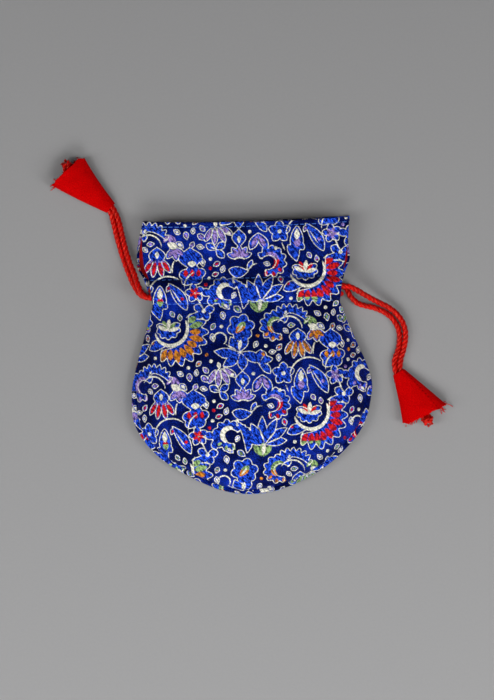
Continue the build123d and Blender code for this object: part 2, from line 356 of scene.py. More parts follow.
class SharedEffects:
    """Shader groups that several finishes use, built once."""

    def __init__(self) -> None:
        """Builds the groups."""
        self.weave = self.build_weave()
        self.streaks = self.build_streaks()
        self.wear = self.build_wear()

    def build_weave(self) -> bpy.types.NodeTree:
        """Crossing threads of a woven cloth, with uneven thickness.

        Returns:
            A group with the threads' height, and their tone from 0 to 1.
        """
        tree, sheet, given, leave = node_group(
            "WovenThreads",
            [
                ("Place", VECTOR_SOCKET, None),
                ("Warp Pitch", FLOAT_SOCKET, 0.3),
                ("Weft Pitch", FLOAT_SOCKET, 0.3),
                ("Unevenness", FLOAT_SOCKET, 0.25),
            ],
            [("Height", FLOAT_SOCKET), ("Tone", FLOAT_SOCKET)],
        )
        split = sheet.add("ShaderNodeSeparateXYZ")
        sheet.feed(split.inputs[0], given["Place"])
        waver = sheet.noise(sheet.stretch(given["Place"], (1.0, 0.4, 1.0)), 0.9, 3.0)
        shift = sheet.math("MULTIPLY", sheet.math("SUBTRACT", waver, 0.5), given["Unevenness"])
        heights = []
        for axis, pitch in ((0, "Warp Pitch"), (1, "Weft Pitch")):
            phase = sheet.math("DIVIDE", sheet.math("ADD", split.outputs[axis], shift), given[pitch])
            wave = sheet.math("SINE", sheet.math("MULTIPLY", phase, math.tau))
            heights.append(sheet.math("MULTIPLY_ADD", wave, 0.5, 0.5))
        crossing = sheet.math("MULTIPLY", heights[0], heights[1])
        over = sheet.math("MAXIMUM", heights[0], heights[1])
        height = sheet.math("SUBTRACT", over, sheet.math("MULTIPLY", crossing, 0.5))
        sheet.feed(leave.inputs["Height"], height)
        fleck = sheet.noise(sheet.stretch(given["Place"], (3.6, 1.4, 1.0), 0.6), 1.0, 2.0, 0.7)
        tone = sheet.ramp(sheet.math("MULTIPLY_ADD", crossing, 0.22, fleck), 0.32, 0.86)
        sheet.feed(leave.inputs["Tone"], tone)
        return tree

    def build_streaks(self) -> bpy.types.NodeTree:
        """Fine fibres that run one way, as in a spun cord or a satin float.

        Returns:
            A group with the fibres' height and tone.
        """
        tree, sheet, given, leave = node_group(
            "FineFibres",
            [("Place", VECTOR_SOCKET, None), ("Fineness", FLOAT_SOCKET, 1.0)],
            [("Height", FLOAT_SOCKET), ("Tone", FLOAT_SOCKET)],
        )
        scaled = sheet.add("ShaderNodeVectorMath", operation="SCALE")
        sheet.feed(scaled.inputs[0], given["Place"])
        sheet.feed(scaled.inputs["Scale"], given["Fineness"])
        fine = sheet.noise(sheet.stretch(scaled.outputs[0], (6.0, 0.5, 6.0)), 1.0, 3.0, 0.6)
        broad = sheet.noise(sheet.stretch(scaled.outputs[0], (1.6, 0.3, 1.6)), 1.0, 1.0)
        height = sheet.math("MULTIPLY_ADD", fine, 0.7, sheet.math("MULTIPLY", broad, 0.3))
        sheet.feed(leave.inputs["Height"], height)
        tone = sheet.ramp(sheet.math("MULTIPLY_ADD", broad, 0.4, fine), 0.4, 1.0)
        sheet.feed(leave.inputs["Tone"], tone)
        return tree

    def build_wear(self) -> bpy.types.NodeTree:
        """Soft cloudy change of tone, from handling and from light dust.

        Returns:
            A group with one mask from 0 to 1.
        """
        tree, sheet, given, leave = node_group(
            "HandledTone",
            [("Place", VECTOR_SOCKET, None), ("Amount", FLOAT_SOCKET, 0.5)],
            [("Mask", FLOAT_SOCKET)],
        )
        cloud = sheet.noise(given["Place"], 0.07, 4.0, 0.6)
        mask = sheet.math("MULTIPLY", sheet.ramp(cloud, 0.35, 0.7), given["Amount"])
        sheet.feed(leave.inputs["Mask"], mask)
        return tree

    def place(self, sheet: NodeSheet, tree: bpy.types.NodeTree, **values: object) -> bpy.types.Node:
        """Puts a shared group into a material.

        Args:
            sheet: The material's node sheet.
            tree: The group.
            **values: Values or links for its inputs, with spaces written as underscores.

        Returns:
            The group's node.
        """
        node = sheet.add("ShaderNodeGroup")
        node.node_tree = tree
        for key, value in values.items():
            sheet.feed(node.inputs[key.replace("_", " ")], value)
        return node


@dataclass(frozen=True)
class Gloss:
    """How a finish takes the light: numbers set straight on its shader."""

    specular: float = 0.5
    tint: tuple = (1.0, 1.0, 1.0, 1.0)
    sheen: float = 0.0
    sheen_roughness: float = 0.4
    anisotropy: float = 0.0

    def shader(self, name: str) -> tuple[bpy.types.Material, NodeSheet, bpy.types.Node]:
        """Starts a material with its shader and gloss.

        Args:
            name: Name of the material.

        Returns:
            The material, its node sheet and its shader node.
        """
        material = bpy.data.materials.new(name)
        material.use_nodes = True
        material.node_tree.nodes.clear()
        sheet = NodeSheet(material.node_tree)
        shader = sheet.add("ShaderNodeBsdfPrincipled")
        result = sheet.add("ShaderNodeOutputMaterial")
        sheet.tree.links.new(shader.outputs[0], result.inputs[0])
        shader.inputs["Specular IOR Level"].default_value = self.specular
        shader.inputs["Specular Tint"].default_value = self.tint
        shader.inputs["Sheen Weight"].default_value = self.sheen
        shader.inputs["Sheen Roughness"].default_value = self.sheen_roughness
        shader.inputs["Anisotropic"].default_value = self.anisotropy
        return material, sheet, shader


def bump(
    sheet: NodeSheet,
    shader: bpy.types.Node,
    height: bpy.types.NodeSocket,
    depth: float,
    strength: float = 1.0,
) -> None:
    """Feeds a height to a shader's normal.

    Args:
        sheet: The material's node sheet.
        shader: Its shader node.
        height: Height from 0 to 1.
        depth: Depth of a height of 1, in mm.
        strength: Share of the effect.
    """
    node = sheet.add("ShaderNodeBump")
    node.inputs["Strength"].default_value = strength
    node.inputs["Distance"].default_value = depth * MM
    sheet.feed(node.inputs["Height"], height)
    sheet.feed(shader.inputs["Normal"], node.outputs[0])


# ---------------------------------------------------------------- finishes


@dataclass(frozen=True)
class BrocadeFinish:
    """Navy satin with painted blue sheen patches, raised royal blue motifs, cream outlines and coloured
    wefts.
    """

    navy: tuple = (0.0002, 0.0003, 0.010, 1.0)
    # Painted sheen: the bright blue that stands in for the satin's reflection, painted in patches over the
    # navy ground.
    sheen_blue: tuple = (0.006, 0.036, 0.50, 1.0)
    royal: tuple = (0.020, 0.105, 0.92, 1.0)
    royal_shade: tuple = (0.0003, 0.002, 0.075, 1.0)
    cream: tuple = (1.0, 0.96, 0.80, 1.0)
    cream_shade: tuple = (0.44, 0.45, 0.38, 1.0)
    line_half_width: float = 0.16
    repeat_height: float = 62.4
    band_start: float = -36.5
    gloss: Gloss = Gloss(specular=0.1, tint=(0.15, 0.22, 1.0, 1.0))

    def build(self, effects: SharedEffects) -> bpy.types.Material:
        """Makes the material.

        Args:
            effects: The shared shader groups.

        Returns:
            The brocade.
        """
        material, sheet, shader = self.gloss.shader("brocade")
        place = sheet.attribute("cloth_place", vector=True)
        motif = sheet.attribute("motif")
        line = sheet.attribute("line")
        cream_area = sheet.attribute("cream")
        accent_area = sheet.attribute("accent")
        weave = effects.place(
            sheet, effects.weave, Place=place, Warp_Pitch=0.34, Weft_Pitch=0.42, Unevenness=0.5
        )
        tone = weave.outputs["Tone"]
        fray = sheet.math("MULTIPLY_ADD", sheet.noise(place, 1.9, 2.0), 0.62, -0.31)
        slub = sheet.ramp(sheet.noise(sheet.stretch(place, (0.62, 1.15, 1.0), 0.9), 1.0, 3.0, 0.7), 0.4, 0.61)
        slub_tone = sheet.math("MULTIPLY_ADD", tone, 0.35, sheet.math("MULTIPLY", slub, 0.65))
        # Painted sheen: cloudy patches, and a little of the weave's tone, turn the navy ground sheen blue
        # where the satin would reflect the light.
        cloud = sheet.noise(sheet.stretch(place, (1.0, 0.8, 1.0), 0.5), 0.06, 3.0, 0.62)
        painted_sheen_patches = sheet.ramp(sheet.math("MULTIPLY_ADD", tone, 0.3, cloud), 0.58, 0.88)
        ground = sheet.mix(painted_sheen_patches, self.navy, self.sheen_blue)
        ground = sheet.mix(sheet.math("MULTIPLY", tone, 0.1), ground, self.sheen_blue)
        fill = sheet.mix(sheet.ramp(slub_tone, 0.2, 0.85), self.royal_shade, self.royal)
        colour = sheet.mix(sheet.ramp(sheet.math("ADD", motif, fray), -0.1, 0.1), ground, fill)
        split = sheet.add("ShaderNodeSeparateXYZ")
        sheet.feed(split.inputs[0], place)
        climb = sheet.math("MULTIPLY_ADD", sheet.noise(place, 0.05, 0.0), 2.0, split.outputs[1])
        turn = sheet.math("DIVIDE", sheet.math("SUBTRACT", climb, self.band_start), self.repeat_height)
        bands = sheet.add("ShaderNodeValToRGB")
        bands.color_ramp.interpolation = "CONSTANT"
        stops = bands.color_ramp.elements
        for index, band in enumerate(Band):
            stop = stops[index] if index < 2 else stops.new(band.start)
            stop.position = band.start
            stop.color = band.value
        sheet.feed(bands.inputs[0], sheet.math("FRACT", turn))
        weft = bands.outputs[0]
        thread = sheet.mix(sheet.ramp(slub_tone, 0.1, 0.66), sheet.mix(0.8, weft, self.navy), weft)
        colour = sheet.mix(sheet.ramp(sheet.math("ADD", accent_area, fray), -0.06, 0.1), colour, thread)
        outline = sheet.math("SUBTRACT", self.line_half_width, sheet.math("ABSOLUTE", motif))
        light = sheet.math("MAXIMUM", sheet.math("MAXIMUM", outline, line), cream_area)
        light = sheet.math("MULTIPLY_ADD", fray, 0.8, light)
        cover = sheet.ramp(light, -0.1, 0.08)
        pale = sheet.mix(sheet.ramp(slub_tone, 0.05, 0.75), self.cream_shade, self.cream)
        colour = sheet.mix(cover, colour, pale)
        wear = effects.place(sheet, effects.wear, Place=place, Amount=0.12)
        colour = sheet.mix(wear.outputs["Mask"], colour, self.royal_shade)
        sheet.feed(shader.inputs["Base Color"], colour)
        raised = sheet.ramp(motif, -0.3, 0.4, 0.0, 0.55)
        raised = sheet.math("MAXIMUM", raised, sheet.math("MULTIPLY", cover, 0.9))
        raised = sheet.math("MAXIMUM", raised, sheet.ramp(accent_area, -0.2, 0.3, 0.0, 0.8))
        threads = sheet.math("MULTIPLY_ADD", weave.outputs["Height"], 0.35, slub_tone)
        height = sheet.math("MULTIPLY_ADD", threads, 0.7, raised)
        bump(sheet, shader, height, 0.27, 0.9)
        matt = sheet.math("MAXIMUM", cover, sheet.ramp(motif, -0.1, 0.1, 0.0, 0.45))
        sheet.feed(shader.inputs["Roughness"], sheet.ramp(matt, 0.0, 1.0, 0.42, 0.66))
        return material


@dataclass(frozen=True)
class SatinFinish:
    """Plain shiny satin of the lining."""

    colour: tuple = (0.52, 0.004, 0.006, 1.0)
    shade: tuple = (0.27, 0.002, 0.004, 1.0)
    gloss: Gloss = Gloss(specular=0.3, tint=(1.0, 0.3, 0.25, 1.0))

    def build(self, effects: SharedEffects) -> bpy.types.Material:
        """Makes the material.

        Args:
            effects: The shared shader groups.

        Returns:
            The satin.
        """
        material, sheet, shader = self.gloss.shader("lining_satin")
        place = sheet.attribute("cloth_place", vector=True)
        weave = effects.place(
            sheet, effects.weave, Place=place, Warp_Pitch=0.22, Weft_Pitch=0.5, Unevenness=0.3
        )
        fibres = effects.place(sheet, effects.streaks, Place=place, Fineness=1.3)
        wear = effects.place(sheet, effects.wear, Place=place, Amount=0.5)
        woven = sheet.math("MULTIPLY", weave.outputs["Tone"], 0.5)
        tone = sheet.math("MULTIPLY_ADD", fibres.outputs["Tone"], 0.5, woven)
        colour = sheet.mix(tone, self.shade, self.colour)
        sheet.feed(shader.inputs["Base Color"], sheet.mix(wear.outputs["Mask"], colour, self.shade))
        sheet.feed(shader.inputs["Roughness"], sheet.ramp(tone, 0.0, 1.0, 0.58, 0.44))
        height = sheet.math("MULTIPLY_ADD", weave.outputs["Height"], 0.5, fibres.outputs["Height"])
        bump(sheet, shader, height, 0.06)
        return material


@dataclass(frozen=True)
class CordFinish:
    """Spun rayon with a silky shine."""

    colour: tuple = (0.86, 0.003, 0.002, 1.0)
    shade: tuple = (0.12, 0.0003, 0.0003, 1.0)
    gloss: Gloss = Gloss(specular=1.0, tint=(1.0, 0.15, 0.09, 1.0), anisotropy=0.3)

    def build(self, effects: SharedEffects) -> bpy.types.Material:
        """Makes the material.

        Args:
            effects: The shared shader groups.

        Returns:
            The cord's finish.
        """
        material, sheet, shader = self.gloss.shader("rayon_cord")
        place = sheet.attribute("fibre_place", vector=True)
        fibres = effects.place(sheet, effects.streaks, Place=place, Fineness=1.6)
        wear = effects.place(sheet, effects.wear, Place=place, Amount=0.3)
        colour = sheet.mix(fibres.outputs["Tone"], self.shade, self.colour)
        sheet.feed(shader.inputs["Base Color"], sheet.mix(wear.outputs["Mask"], colour, self.shade))
        sheet.feed(shader.inputs["Roughness"], sheet.ramp(fibres.outputs["Tone"], 0.0, 1.0, 0.36, 0.22))
        bump(sheet, shader, fibres.outputs["Height"], 0.16)
        return material


@dataclass(frozen=True)
class TasselFinish:
    """Matt plain-woven cloth of the two cones."""

    colour: tuple = (0.80, 0.0003, 0.001, 1.0)
    shade: tuple = (0.44, 0.0002, 0.0006, 1.0)
    hole: tuple = (0.05, 0.0, 0.0, 1.0)
    gloss: Gloss = Gloss(specular=0.08, tint=(1.0, 0.2, 0.2, 1.0))

    def build(self, effects: SharedEffects) -> bpy.types.Material:
        """Makes the material.

        Args:
            effects: The shared shader groups.

        Returns:
            The cones' finish.
        """
        material, sheet, shader = self.gloss.shader("tassel_cloth")
        place = sheet.attribute("cloth_place", vector=True)
        turned = sheet.stretch(place, (1.0, 1.0, 1.0), 0.7)
        weave = effects.place(
            sheet, effects.weave, Place=turned, Warp_Pitch=0.36, Weft_Pitch=0.36, Unevenness=0.2
        )
        wear = effects.place(sheet, effects.wear, Place=place, Amount=0.4)
        holes = sheet.attribute("needle_holes")
        colour = sheet.mix(weave.outputs["Tone"], self.shade, self.colour)
        colour = sheet.mix(wear.outputs["Mask"], colour, self.shade)
        colour = sheet.mix(holes, colour, self.hole)
        sheet.feed(shader.inputs["Base Color"], colour)
        sheet.feed(shader.inputs["Roughness"], sheet.ramp(weave.outputs["Tone"], 0.0, 1.0, 0.9, 0.74))
        bump(sheet, shader, sheet.math("SUBTRACT", weave.outputs["Height"], holes), 0.13)
        return material


@dataclass(frozen=True)
class ThreadFinish:
    """Blue polyester sewing thread, twisted from two strands."""

    colour: tuple = (0.05, 0.22, 0.80, 1.0)
    shade: tuple = (0.02, 0.10, 0.50, 1.0)
    gloss: Gloss = Gloss(specular=0.5, sheen=0.2)

    def build(self, effects: SharedEffects) -> bpy.types.Material:
        """Makes the material.

        Args:
            effects: The shared shader groups.

        Returns:
            The thread's finish.
        """
        material, sheet, shader = self.gloss.shader("sewing_thread")
        place = sheet.attribute("fibre_place", vector=True)
        fibres = effects.place(sheet, effects.streaks, Place=place, Fineness=4.0)
        sheet.feed(shader.inputs["Base Color"], sheet.mix(fibres.outputs["Tone"], self.shade, self.colour))
        sheet.feed(shader.inputs["Roughness"], sheet.ramp(fibres.outputs["Tone"], 0.0, 1.0, 0.5, 0.36))
        bump(sheet, shader, fibres.outputs["Height"], 0.03)
        return material


@dataclass(frozen=True)
class PaperFinish:
    """Smooth pale paper under the pouch."""

    colour: tuple = (0.272, 0.270, 0.270, 1.0)
    shade: tuple = (0.255, 0.253, 0.254, 1.0)
    gloss: Gloss = Gloss(specular=0.15)

    def build(self) -> bpy.types.Material:
        """Makes the material.

        Returns:
            The paper.
        """
        material, sheet, shader = self.gloss.shader("paper")
        spot = sheet.add("ShaderNodeTexCoord").outputs["Object"]
        grain = sheet.noise(spot, 900.0, 2.0)
        sheet.feed(shader.inputs["Base Color"], sheet.mix(grain, self.shade, self.colour))
        sheet.feed(shader.inputs["Roughness"], sheet.ramp(grain, 0.0, 1.0, 0.85, 0.95))
        bump(sheet, shader, grain, 0.02)
        return material


# ---------------------------------------------------------------- woven pattern


def petal(
    x: float,
    y: float,
    angle: float,
    length: float,
    width: float,
    bend: float = 0.0,
    teeth: int = 0,
    point: float = 0.8,
) -> np.ndarray:
    """Outline of a pointed petal or leaf.

    Args:
        x: Base, across.
        y: Base, along.
        angle: Heading of the petal in degrees, 0 to the right.
        length: From base to tip.
        width: At its widest.
        bend: Sideways bow of its middle, as a share of the length.
        teeth: Number of teeth along its outer side.
        point: Power that sharpens its ends.

    Returns:
        The outline, in mm.
    """
    t = np.linspace(0, 1, 26)
    bow = bend * length * 4 * t * (1 - t)
    half = width / 2 * np.sin(math.pi * t) ** point * (0.75 + 0.5 * t)
    outer = half.copy()
    if teeth:
        outer += width * 0.32 * np.abs(((t * teeth) % 1) - 0.15) * np.sin(math.pi * t) ** 0.3
    upper = np.stack([t * length, bow + outer], 1)
    lower = np.stack([t * length, bow - half], 1)[::-1]
    turn = math.radians(angle)
    spin = np.array([[math.cos(turn), math.sin(turn)], [-math.sin(turn), math.cos(turn)]])
    return np.vstack([upper, lower[1:-1]]) @ spin + (x, y)


def bloom(
    x: float,
    y: float,
    radius: float,
    lobes: int,
    depth: float,
    turn: float = 0.0,
    squash: float = 1.0,
) -> np.ndarray:
    """Outline of a round flower with scalloped or pointed lobes.

    Args:
        x: Centre, across.
        y: Centre, along.
        radius: To the tip of a lobe.
        lobes: Number of lobes.
        depth: How far the notches go in, as a share of the radius.
        turn: Turn in degrees.
        squash: Height over width.

    Returns:
        The outline, in mm.
    """
    t = np.linspace(0, math.tau, lobes * 10, endpoint=False)
    reach = radius * (1 - depth * (1 - np.abs(np.cos(lobes * t / 2))))
    ring = np.stack([reach * np.cos(t), squash * reach * np.sin(t)], 1)
    a = math.radians(turn)
    return ring @ np.array([[math.cos(a), math.sin(a)], [-math.sin(a), math.cos(a)]]) + (x, y)


def crescent(
    x: float,
    y: float,
    outer: float,
    inner: float,
    start: float,
    end: float,
    lobes: int = 0,
    depth: float = 0.0,
) -> np.ndarray:
    """Outline of a part of a ring, tapering to its ends, with lobes on its outer side.

    Args:
        x: Centre, across.
        y: Centre, along.
        outer: Outer radius.
        inner: Inner radius.
        start: First angle in degrees.
        end: Last angle in degrees.
        lobes: Number of lobes along the outer side.
        depth: Depth of the notches between them, in mm.

    Returns:
        The outline, in mm.
    """
    t = np.linspace(0, 1, max(24, lobes * 8))
    angle = np.radians(start + (end - start) * t)
    middle, half = (outer + inner) / 2, (outer - inner) / 2
    swell = np.minimum(1, np.sin(math.pi * t) ** 0.35 + 0.06)
    far = middle + half * swell
    if lobes:
        far -= depth * (1 - np.abs(np.sin(math.pi * lobes * t)) ** 1.2)
    near = middle - half * swell
    outside = np.stack([x + far * np.cos(angle), y + far * np.sin(angle)], 1)
    inside = np.stack([x + near * np.cos(angle), y + near * np.sin(angle)], 1)[::-1]
    return np.vstack([outside, inside])


@dataclass
class Motif:
    """One figure of the pattern, about its own middle."""

    fills: list = field(default_factory=list)
    creams: list = field(default_factory=list)
    accents: list = field(default_factory=list)
    lines: list = field(default_factory=list)


def crown_flower() -> Motif:
    """The largest flower: a cream crescent cup over rays and a scalloped hem, with an arrow leaf."""
    rays = []
    for index, angle in enumerate(range(-112, 36, 16)):
        lean = math.radians(angle)
        root = (-2.8 + 6.9 * math.cos(lean), 5.2 + 6.9 * math.sin(lean))
        rays.append(petal(*root, angle, 6.0 - 1.4 * (index % 2), 2.5, 0.0, 0, 0.7))
    hem = crescent(-3.0, 5.8, 15.0, 6.4, -120, 42, 9, 2.8)
    leaf = petal(-5.6, -0.2, 190, 8.0, 4.2, -0.12)
    bowl = crescent(-4.6, 8.2, 6.0, 0.2, -196, 20, 7, 1.0)
    horn = petal(-7.8, 10.2, 116, 7.6, 4.4, -0.12)
    flakes = [petal(-4.6, 5.8, angle, 5.0, 1.7) for angle in (152, 116, 82, 48, 14)]
    cup = crescent(-3.6, 6.8, 7.7, 6.3, -168, 30)
    return Motif([hem, leaf, horn, bowl], [cup] + flakes[::2], rays + flakes[1::2], [])


def arch_bud() -> Motif:
    """A thin arch over a hanging bell bud and a long pointed leaf."""
    bell = petal(-3.2, 5.0, -92, 10.5, 5.2, 0.0, 0, 0.6)
    skirt = [petal(-3.2, -1.4, angle, 4.2, 2.6) for angle in (-130, -90, -52)]
    leaf = petal(0.2, 6.0, -58, 13.5, 4.6, 0.05, 0, 0.8)
    arch = crescent(0.0, 1.4, 8.0, 7.4, 48, 176)
    heart, clapper = petal(-3.2, 4.0, -92, 4.6, 2.2), petal(-3.2, 0.6, -92, 4.4, 2.6)
    vein = petal(1.2, 4.0, -58, 8.0, 0.5)
    return Motif([bell, leaf] + skirt, [heart], [clapper], [arch, vein])


def petal_cluster() -> Motif:
    """Three small flowers on short stems."""
    first = [petal(-3.0, 3.6, angle, 4.0, 2.7) for angle in (40, 110, 180, 250, 320)]
    second = [petal(3.4, 3.2, angle, 4.3, 3.2) for angle in (0, 75, 150, 285)]
    third = [petal(1.4, -3.4, angle, 4.4, 3.2) for angle in (20, 160, 235, 300)]
    hearts = [petal(-3.0, 3.6, angle + 36, 2.6, 1.3) for angle in (40, 110, 180, 250, 320)]
    eye, stem = bloom(1.4, -3.6, 0.9, 5, 0.2), petal(-2.2, 2.6, -60, 6.4, 0.6)
    return Motif(second + third + first, [eye], hearts, [stem])


def comma_flower(mirror: bool = False, plain: bool = False) -> Motif:
    """A curled flower with a scalloped back and a pale heart.

    Args:
        mirror: Whether it curls the other way.
        plain: Whether it has no leaf.

    Returns:
        The figure.
    """
    back = crescent(0.0, 0.0, 6.8, 2.4, 20, 300, 9, 1.3)
    heart = crescent(0.2, 0.2, 3.9, 1.9, 60, 250)
    leaf = petal(2.8, 5.6, -72, 13.5, 3.6, 0.18, 9, 0.8)
    turns = np.radians([220, 255, 290])
    drops = [petal(3.9 * math.cos(a), 3.9 * math.sin(a), math.degrees(a), 2.3, 1.4) for a in turns]
    if plain:
        made = Motif([back], [], drops + [heart], [])
    else:
        made = Motif([back, leaf], [heart], drops, [])
    if mirror:
        for group in (made.fills, made.creams, made.accents, made.lines):
            group[:] = [shape * (-1, 1) for shape in group]
    return made


def fan_spray() -> Motif:
    """Six leaves fanned from a small cup."""
    fan = ((152, 8.6), (122, 10.4), (94, 11.6), (64, 11.6), (36, 11.2), (10, 9.0))
    leaves = [petal(-1.6, -3.6, angle, reach, 3.4, 0.04, 0, 1.0) for angle, reach in fan]
    veins = [petal(-1.6, -3.4, angle, 7.4, 0.6) for angle in (108, 50, 22)]
    cup = [petal(-2.8, -8.6, angle, 6.0, 2.4) for angle in (50, 86, 124)]
    return Motif(leaves, [petal(-2.6, -8.0, 80, 4.8, 1.6)], cup, veins)


def seed_flower() -> Motif:
    """A round flower of six petals with one large seed."""
    rim, eye = bloom(0, 0, 5.6, 6, 0.26, 12), petal(-1.5, -1.9, 52, 4.0, 0.9)
    return Motif([rim], [eye], [petal(-2.1, -2.4, 50, 6.0, 3.0, 0.0, 0, 0.6)], [])


def fringe_leaf() -> Motif:
    """A long curved leaf with a fringed back, over a hanging trefoil."""
    leaf = crescent(-3.4, -6.4, 10.6, 6.6, 22, 152, 9, 1.7)
    rib = crescent(-3.4, -6.4, 5.6, 5.0, 0, 150)
    hang = [petal(7.2, -6.6, angle, 5.4, 2.6) for angle in (-128, -84, -42)]
    hearts = [petal(7.2, -6.8, angle, 4.4, 1.6) for angle in (-128, -84, -42)]
    cap = petal(4.2, -4.6, -28, 4.4, 2.8)
    return Motif([leaf] + hang, [cap], hearts, [rib])


def tulip(spread: float = 21.0, reach: float = 8.2, stem: bool = True) -> Motif:
    """A hanging tulip of four long petals under a pointed cap.

    Args:
        spread: Angle between petals, in degrees.
        reach: Length of the petals.
        stem: Whether a cap and stem are above it.

    Returns:
        The figure.
    """
    petals, hearts = [], []
    for i in range(4):
        lean, full = -90 + spread * (i - 1.5), reach - 0.9 * abs(i - 1.5)
        petals.append(petal((i - 1.5) * 1.1, 1.6, lean, full, 2.3, 0.0, 0, 0.7))
        hearts.append(petal((i - 1.5) * 1.2, 1.2, lean, full - 1.0, 1.5, 0.0, 0, 0.6))
    cap = petal(0, -1.4, 90, 7.6, 6.6, 0.0, 0, 1.1)
    return Motif([cap] + petals if stem else petals, [petal(0, 1.4, 90, 3.0, 1.6)], hearts, [])


def hooded_bell() -> Motif:
    """A pointed hood over a bell of three round lobes."""
    hood = petal(-0.4, -0.8, 92, 9.6, 9.6, 0.0, 0, 1.3)
    bell = bloom(0.0, -2.8, 5.6, 5, 0.24, 18, 0.8)
    rows = [petal(x, -0.2, -90, 3.0, 1.8) for x in (-2.6, 0.0, 2.6)]
    stem = crescent(-0.6, -0.4, 7.8, 7.2, 150, 190)
    return Motif([hood, bell], [petal(0, 0.6, 90, 2.6, 3.4)], rows, [stem])


def star_lily() -> Motif:
    """A ragged star of leaves with a curled tendril and a trumpet."""
    points = ((176, 10.6), (120, 7.4), (66, 7.2), (-28, 9.4), (-84, 7.6), (218, 9.0))
    star = [petal(0.4, -0.4, angle, reach, 4.0, 0.06, 0, 1.1) for angle, reach in points]
    trumpet = [petal(7.8, -5.4, angle, 6.0, 3.0, 0.1) for angle in (20, -40, 80)]
    curl = crescent(-7.6, 5.2, 2.9, 2.3, -60, 220)
    return Motif(star + trumpet, [petal(0, 0.4, 80, 4.4, 1.6)], [], [curl, petal(-6.0, 3.2, -28, 6.0, 0.6)])


def lotus() -> Motif:
    """A small lotus under a pointed hood."""
    petals = [petal(0, -4.6, angle, 5.2, 2.3) for angle in (18, 54, 90, 126, 162)]
    hearts = [petal(0, -4.4, angle, 4.2, 1.3) for angle in (18, 54, 90, 126, 162)]
    hood = petal(0, -0.6, 90, 7.6, 5.6, 0.0, 0, 1.2)
    stalks = [petal(-2.6, -5.4, 24, 2.6, 0.6), petal(2.6, -5.4, 156, 2.6, 0.6)]
    return Motif([hood] + petals, [petal(0, 1.2, 90, 3.0, 1.4)], hearts, stalks)


def sprig() -> Motif:
    """Three plain leaves on a short stem."""
    leaves = [petal(-0.6, 0, angle, 4.6, 2.8) for angle in (-46, 36, 150)]
    return Motif(leaves, [], [], [petal(-3.2, 1.2, -20, 3.4, 0.5)])


def pointing_leaf() -> Motif:
    """A leaf on a hooked stem."""
    leaves = [petal(1.6, -1.2, 176, 8.0, 4.4, 0.1), petal(1.2, -0.8, 62, 4.4, 1.9)]
    return Motif(leaves, [], [], [petal(1.6, -1.0, 30, 5.0, 0.5, 0.2)])


def petal_pair() -> Motif:
    """Two coloured petals that meet in a point."""
    petals = [petal(0, 2.8, -118, 7.6, 3.4), petal(0, 2.8, -62, 7.6, 3.4)]
    hearts = [petal(-0.2, 1.9, -118, 5.4, 1.7), petal(0.2, 1.9, -62, 5.4, 1.7)]
    return Motif(petals, [], hearts, [])


def open_flower() -> Motif:
    """Five open petals about a pale eye, on a stem."""
    petals = [petal(0, 0, 90 + 72 * i, 4.6, 3.3, 0.0, 0, 0.8) for i in range(5)]
    return Motif(petals, [bloom(0, 0, 0.9, 5, 0.2)], [], [petal(0.6, -4.0, -70, 4.2, 0.5)])


def small_figure() -> Motif:
    """Three coloured petals pointing down."""
    return Motif([], [], [petal(0, 1.8, angle, 4.2, 1.5) for angle in (-128, -90, -52)], [])


def seed(accent: bool, length: float = 3.0) -> Motif:
    """One lozenge seed.

    Args:
        accent: Whether its heart is coloured.
        length: From end to end.

    Returns:
        The figure.
    """
    body = petal(0, -length / 2, 90, length, length * 0.62, 0.0, 0, 0.9)
    heart = petal(0, -length * 0.3, 90, length * 0.6, length * 0.34, 0.0, 0, 0.9)
    return Motif([body], [] if accent else [heart], [heart] if accent else [], [])


def dot(accent: bool) -> Motif:
    """One round dot, coloured or cream."""
    spot = bloom(0, 0, 0.75, 6, 0.05)
    return Motif([], [] if accent else [spot], [spot] if accent else [], [])


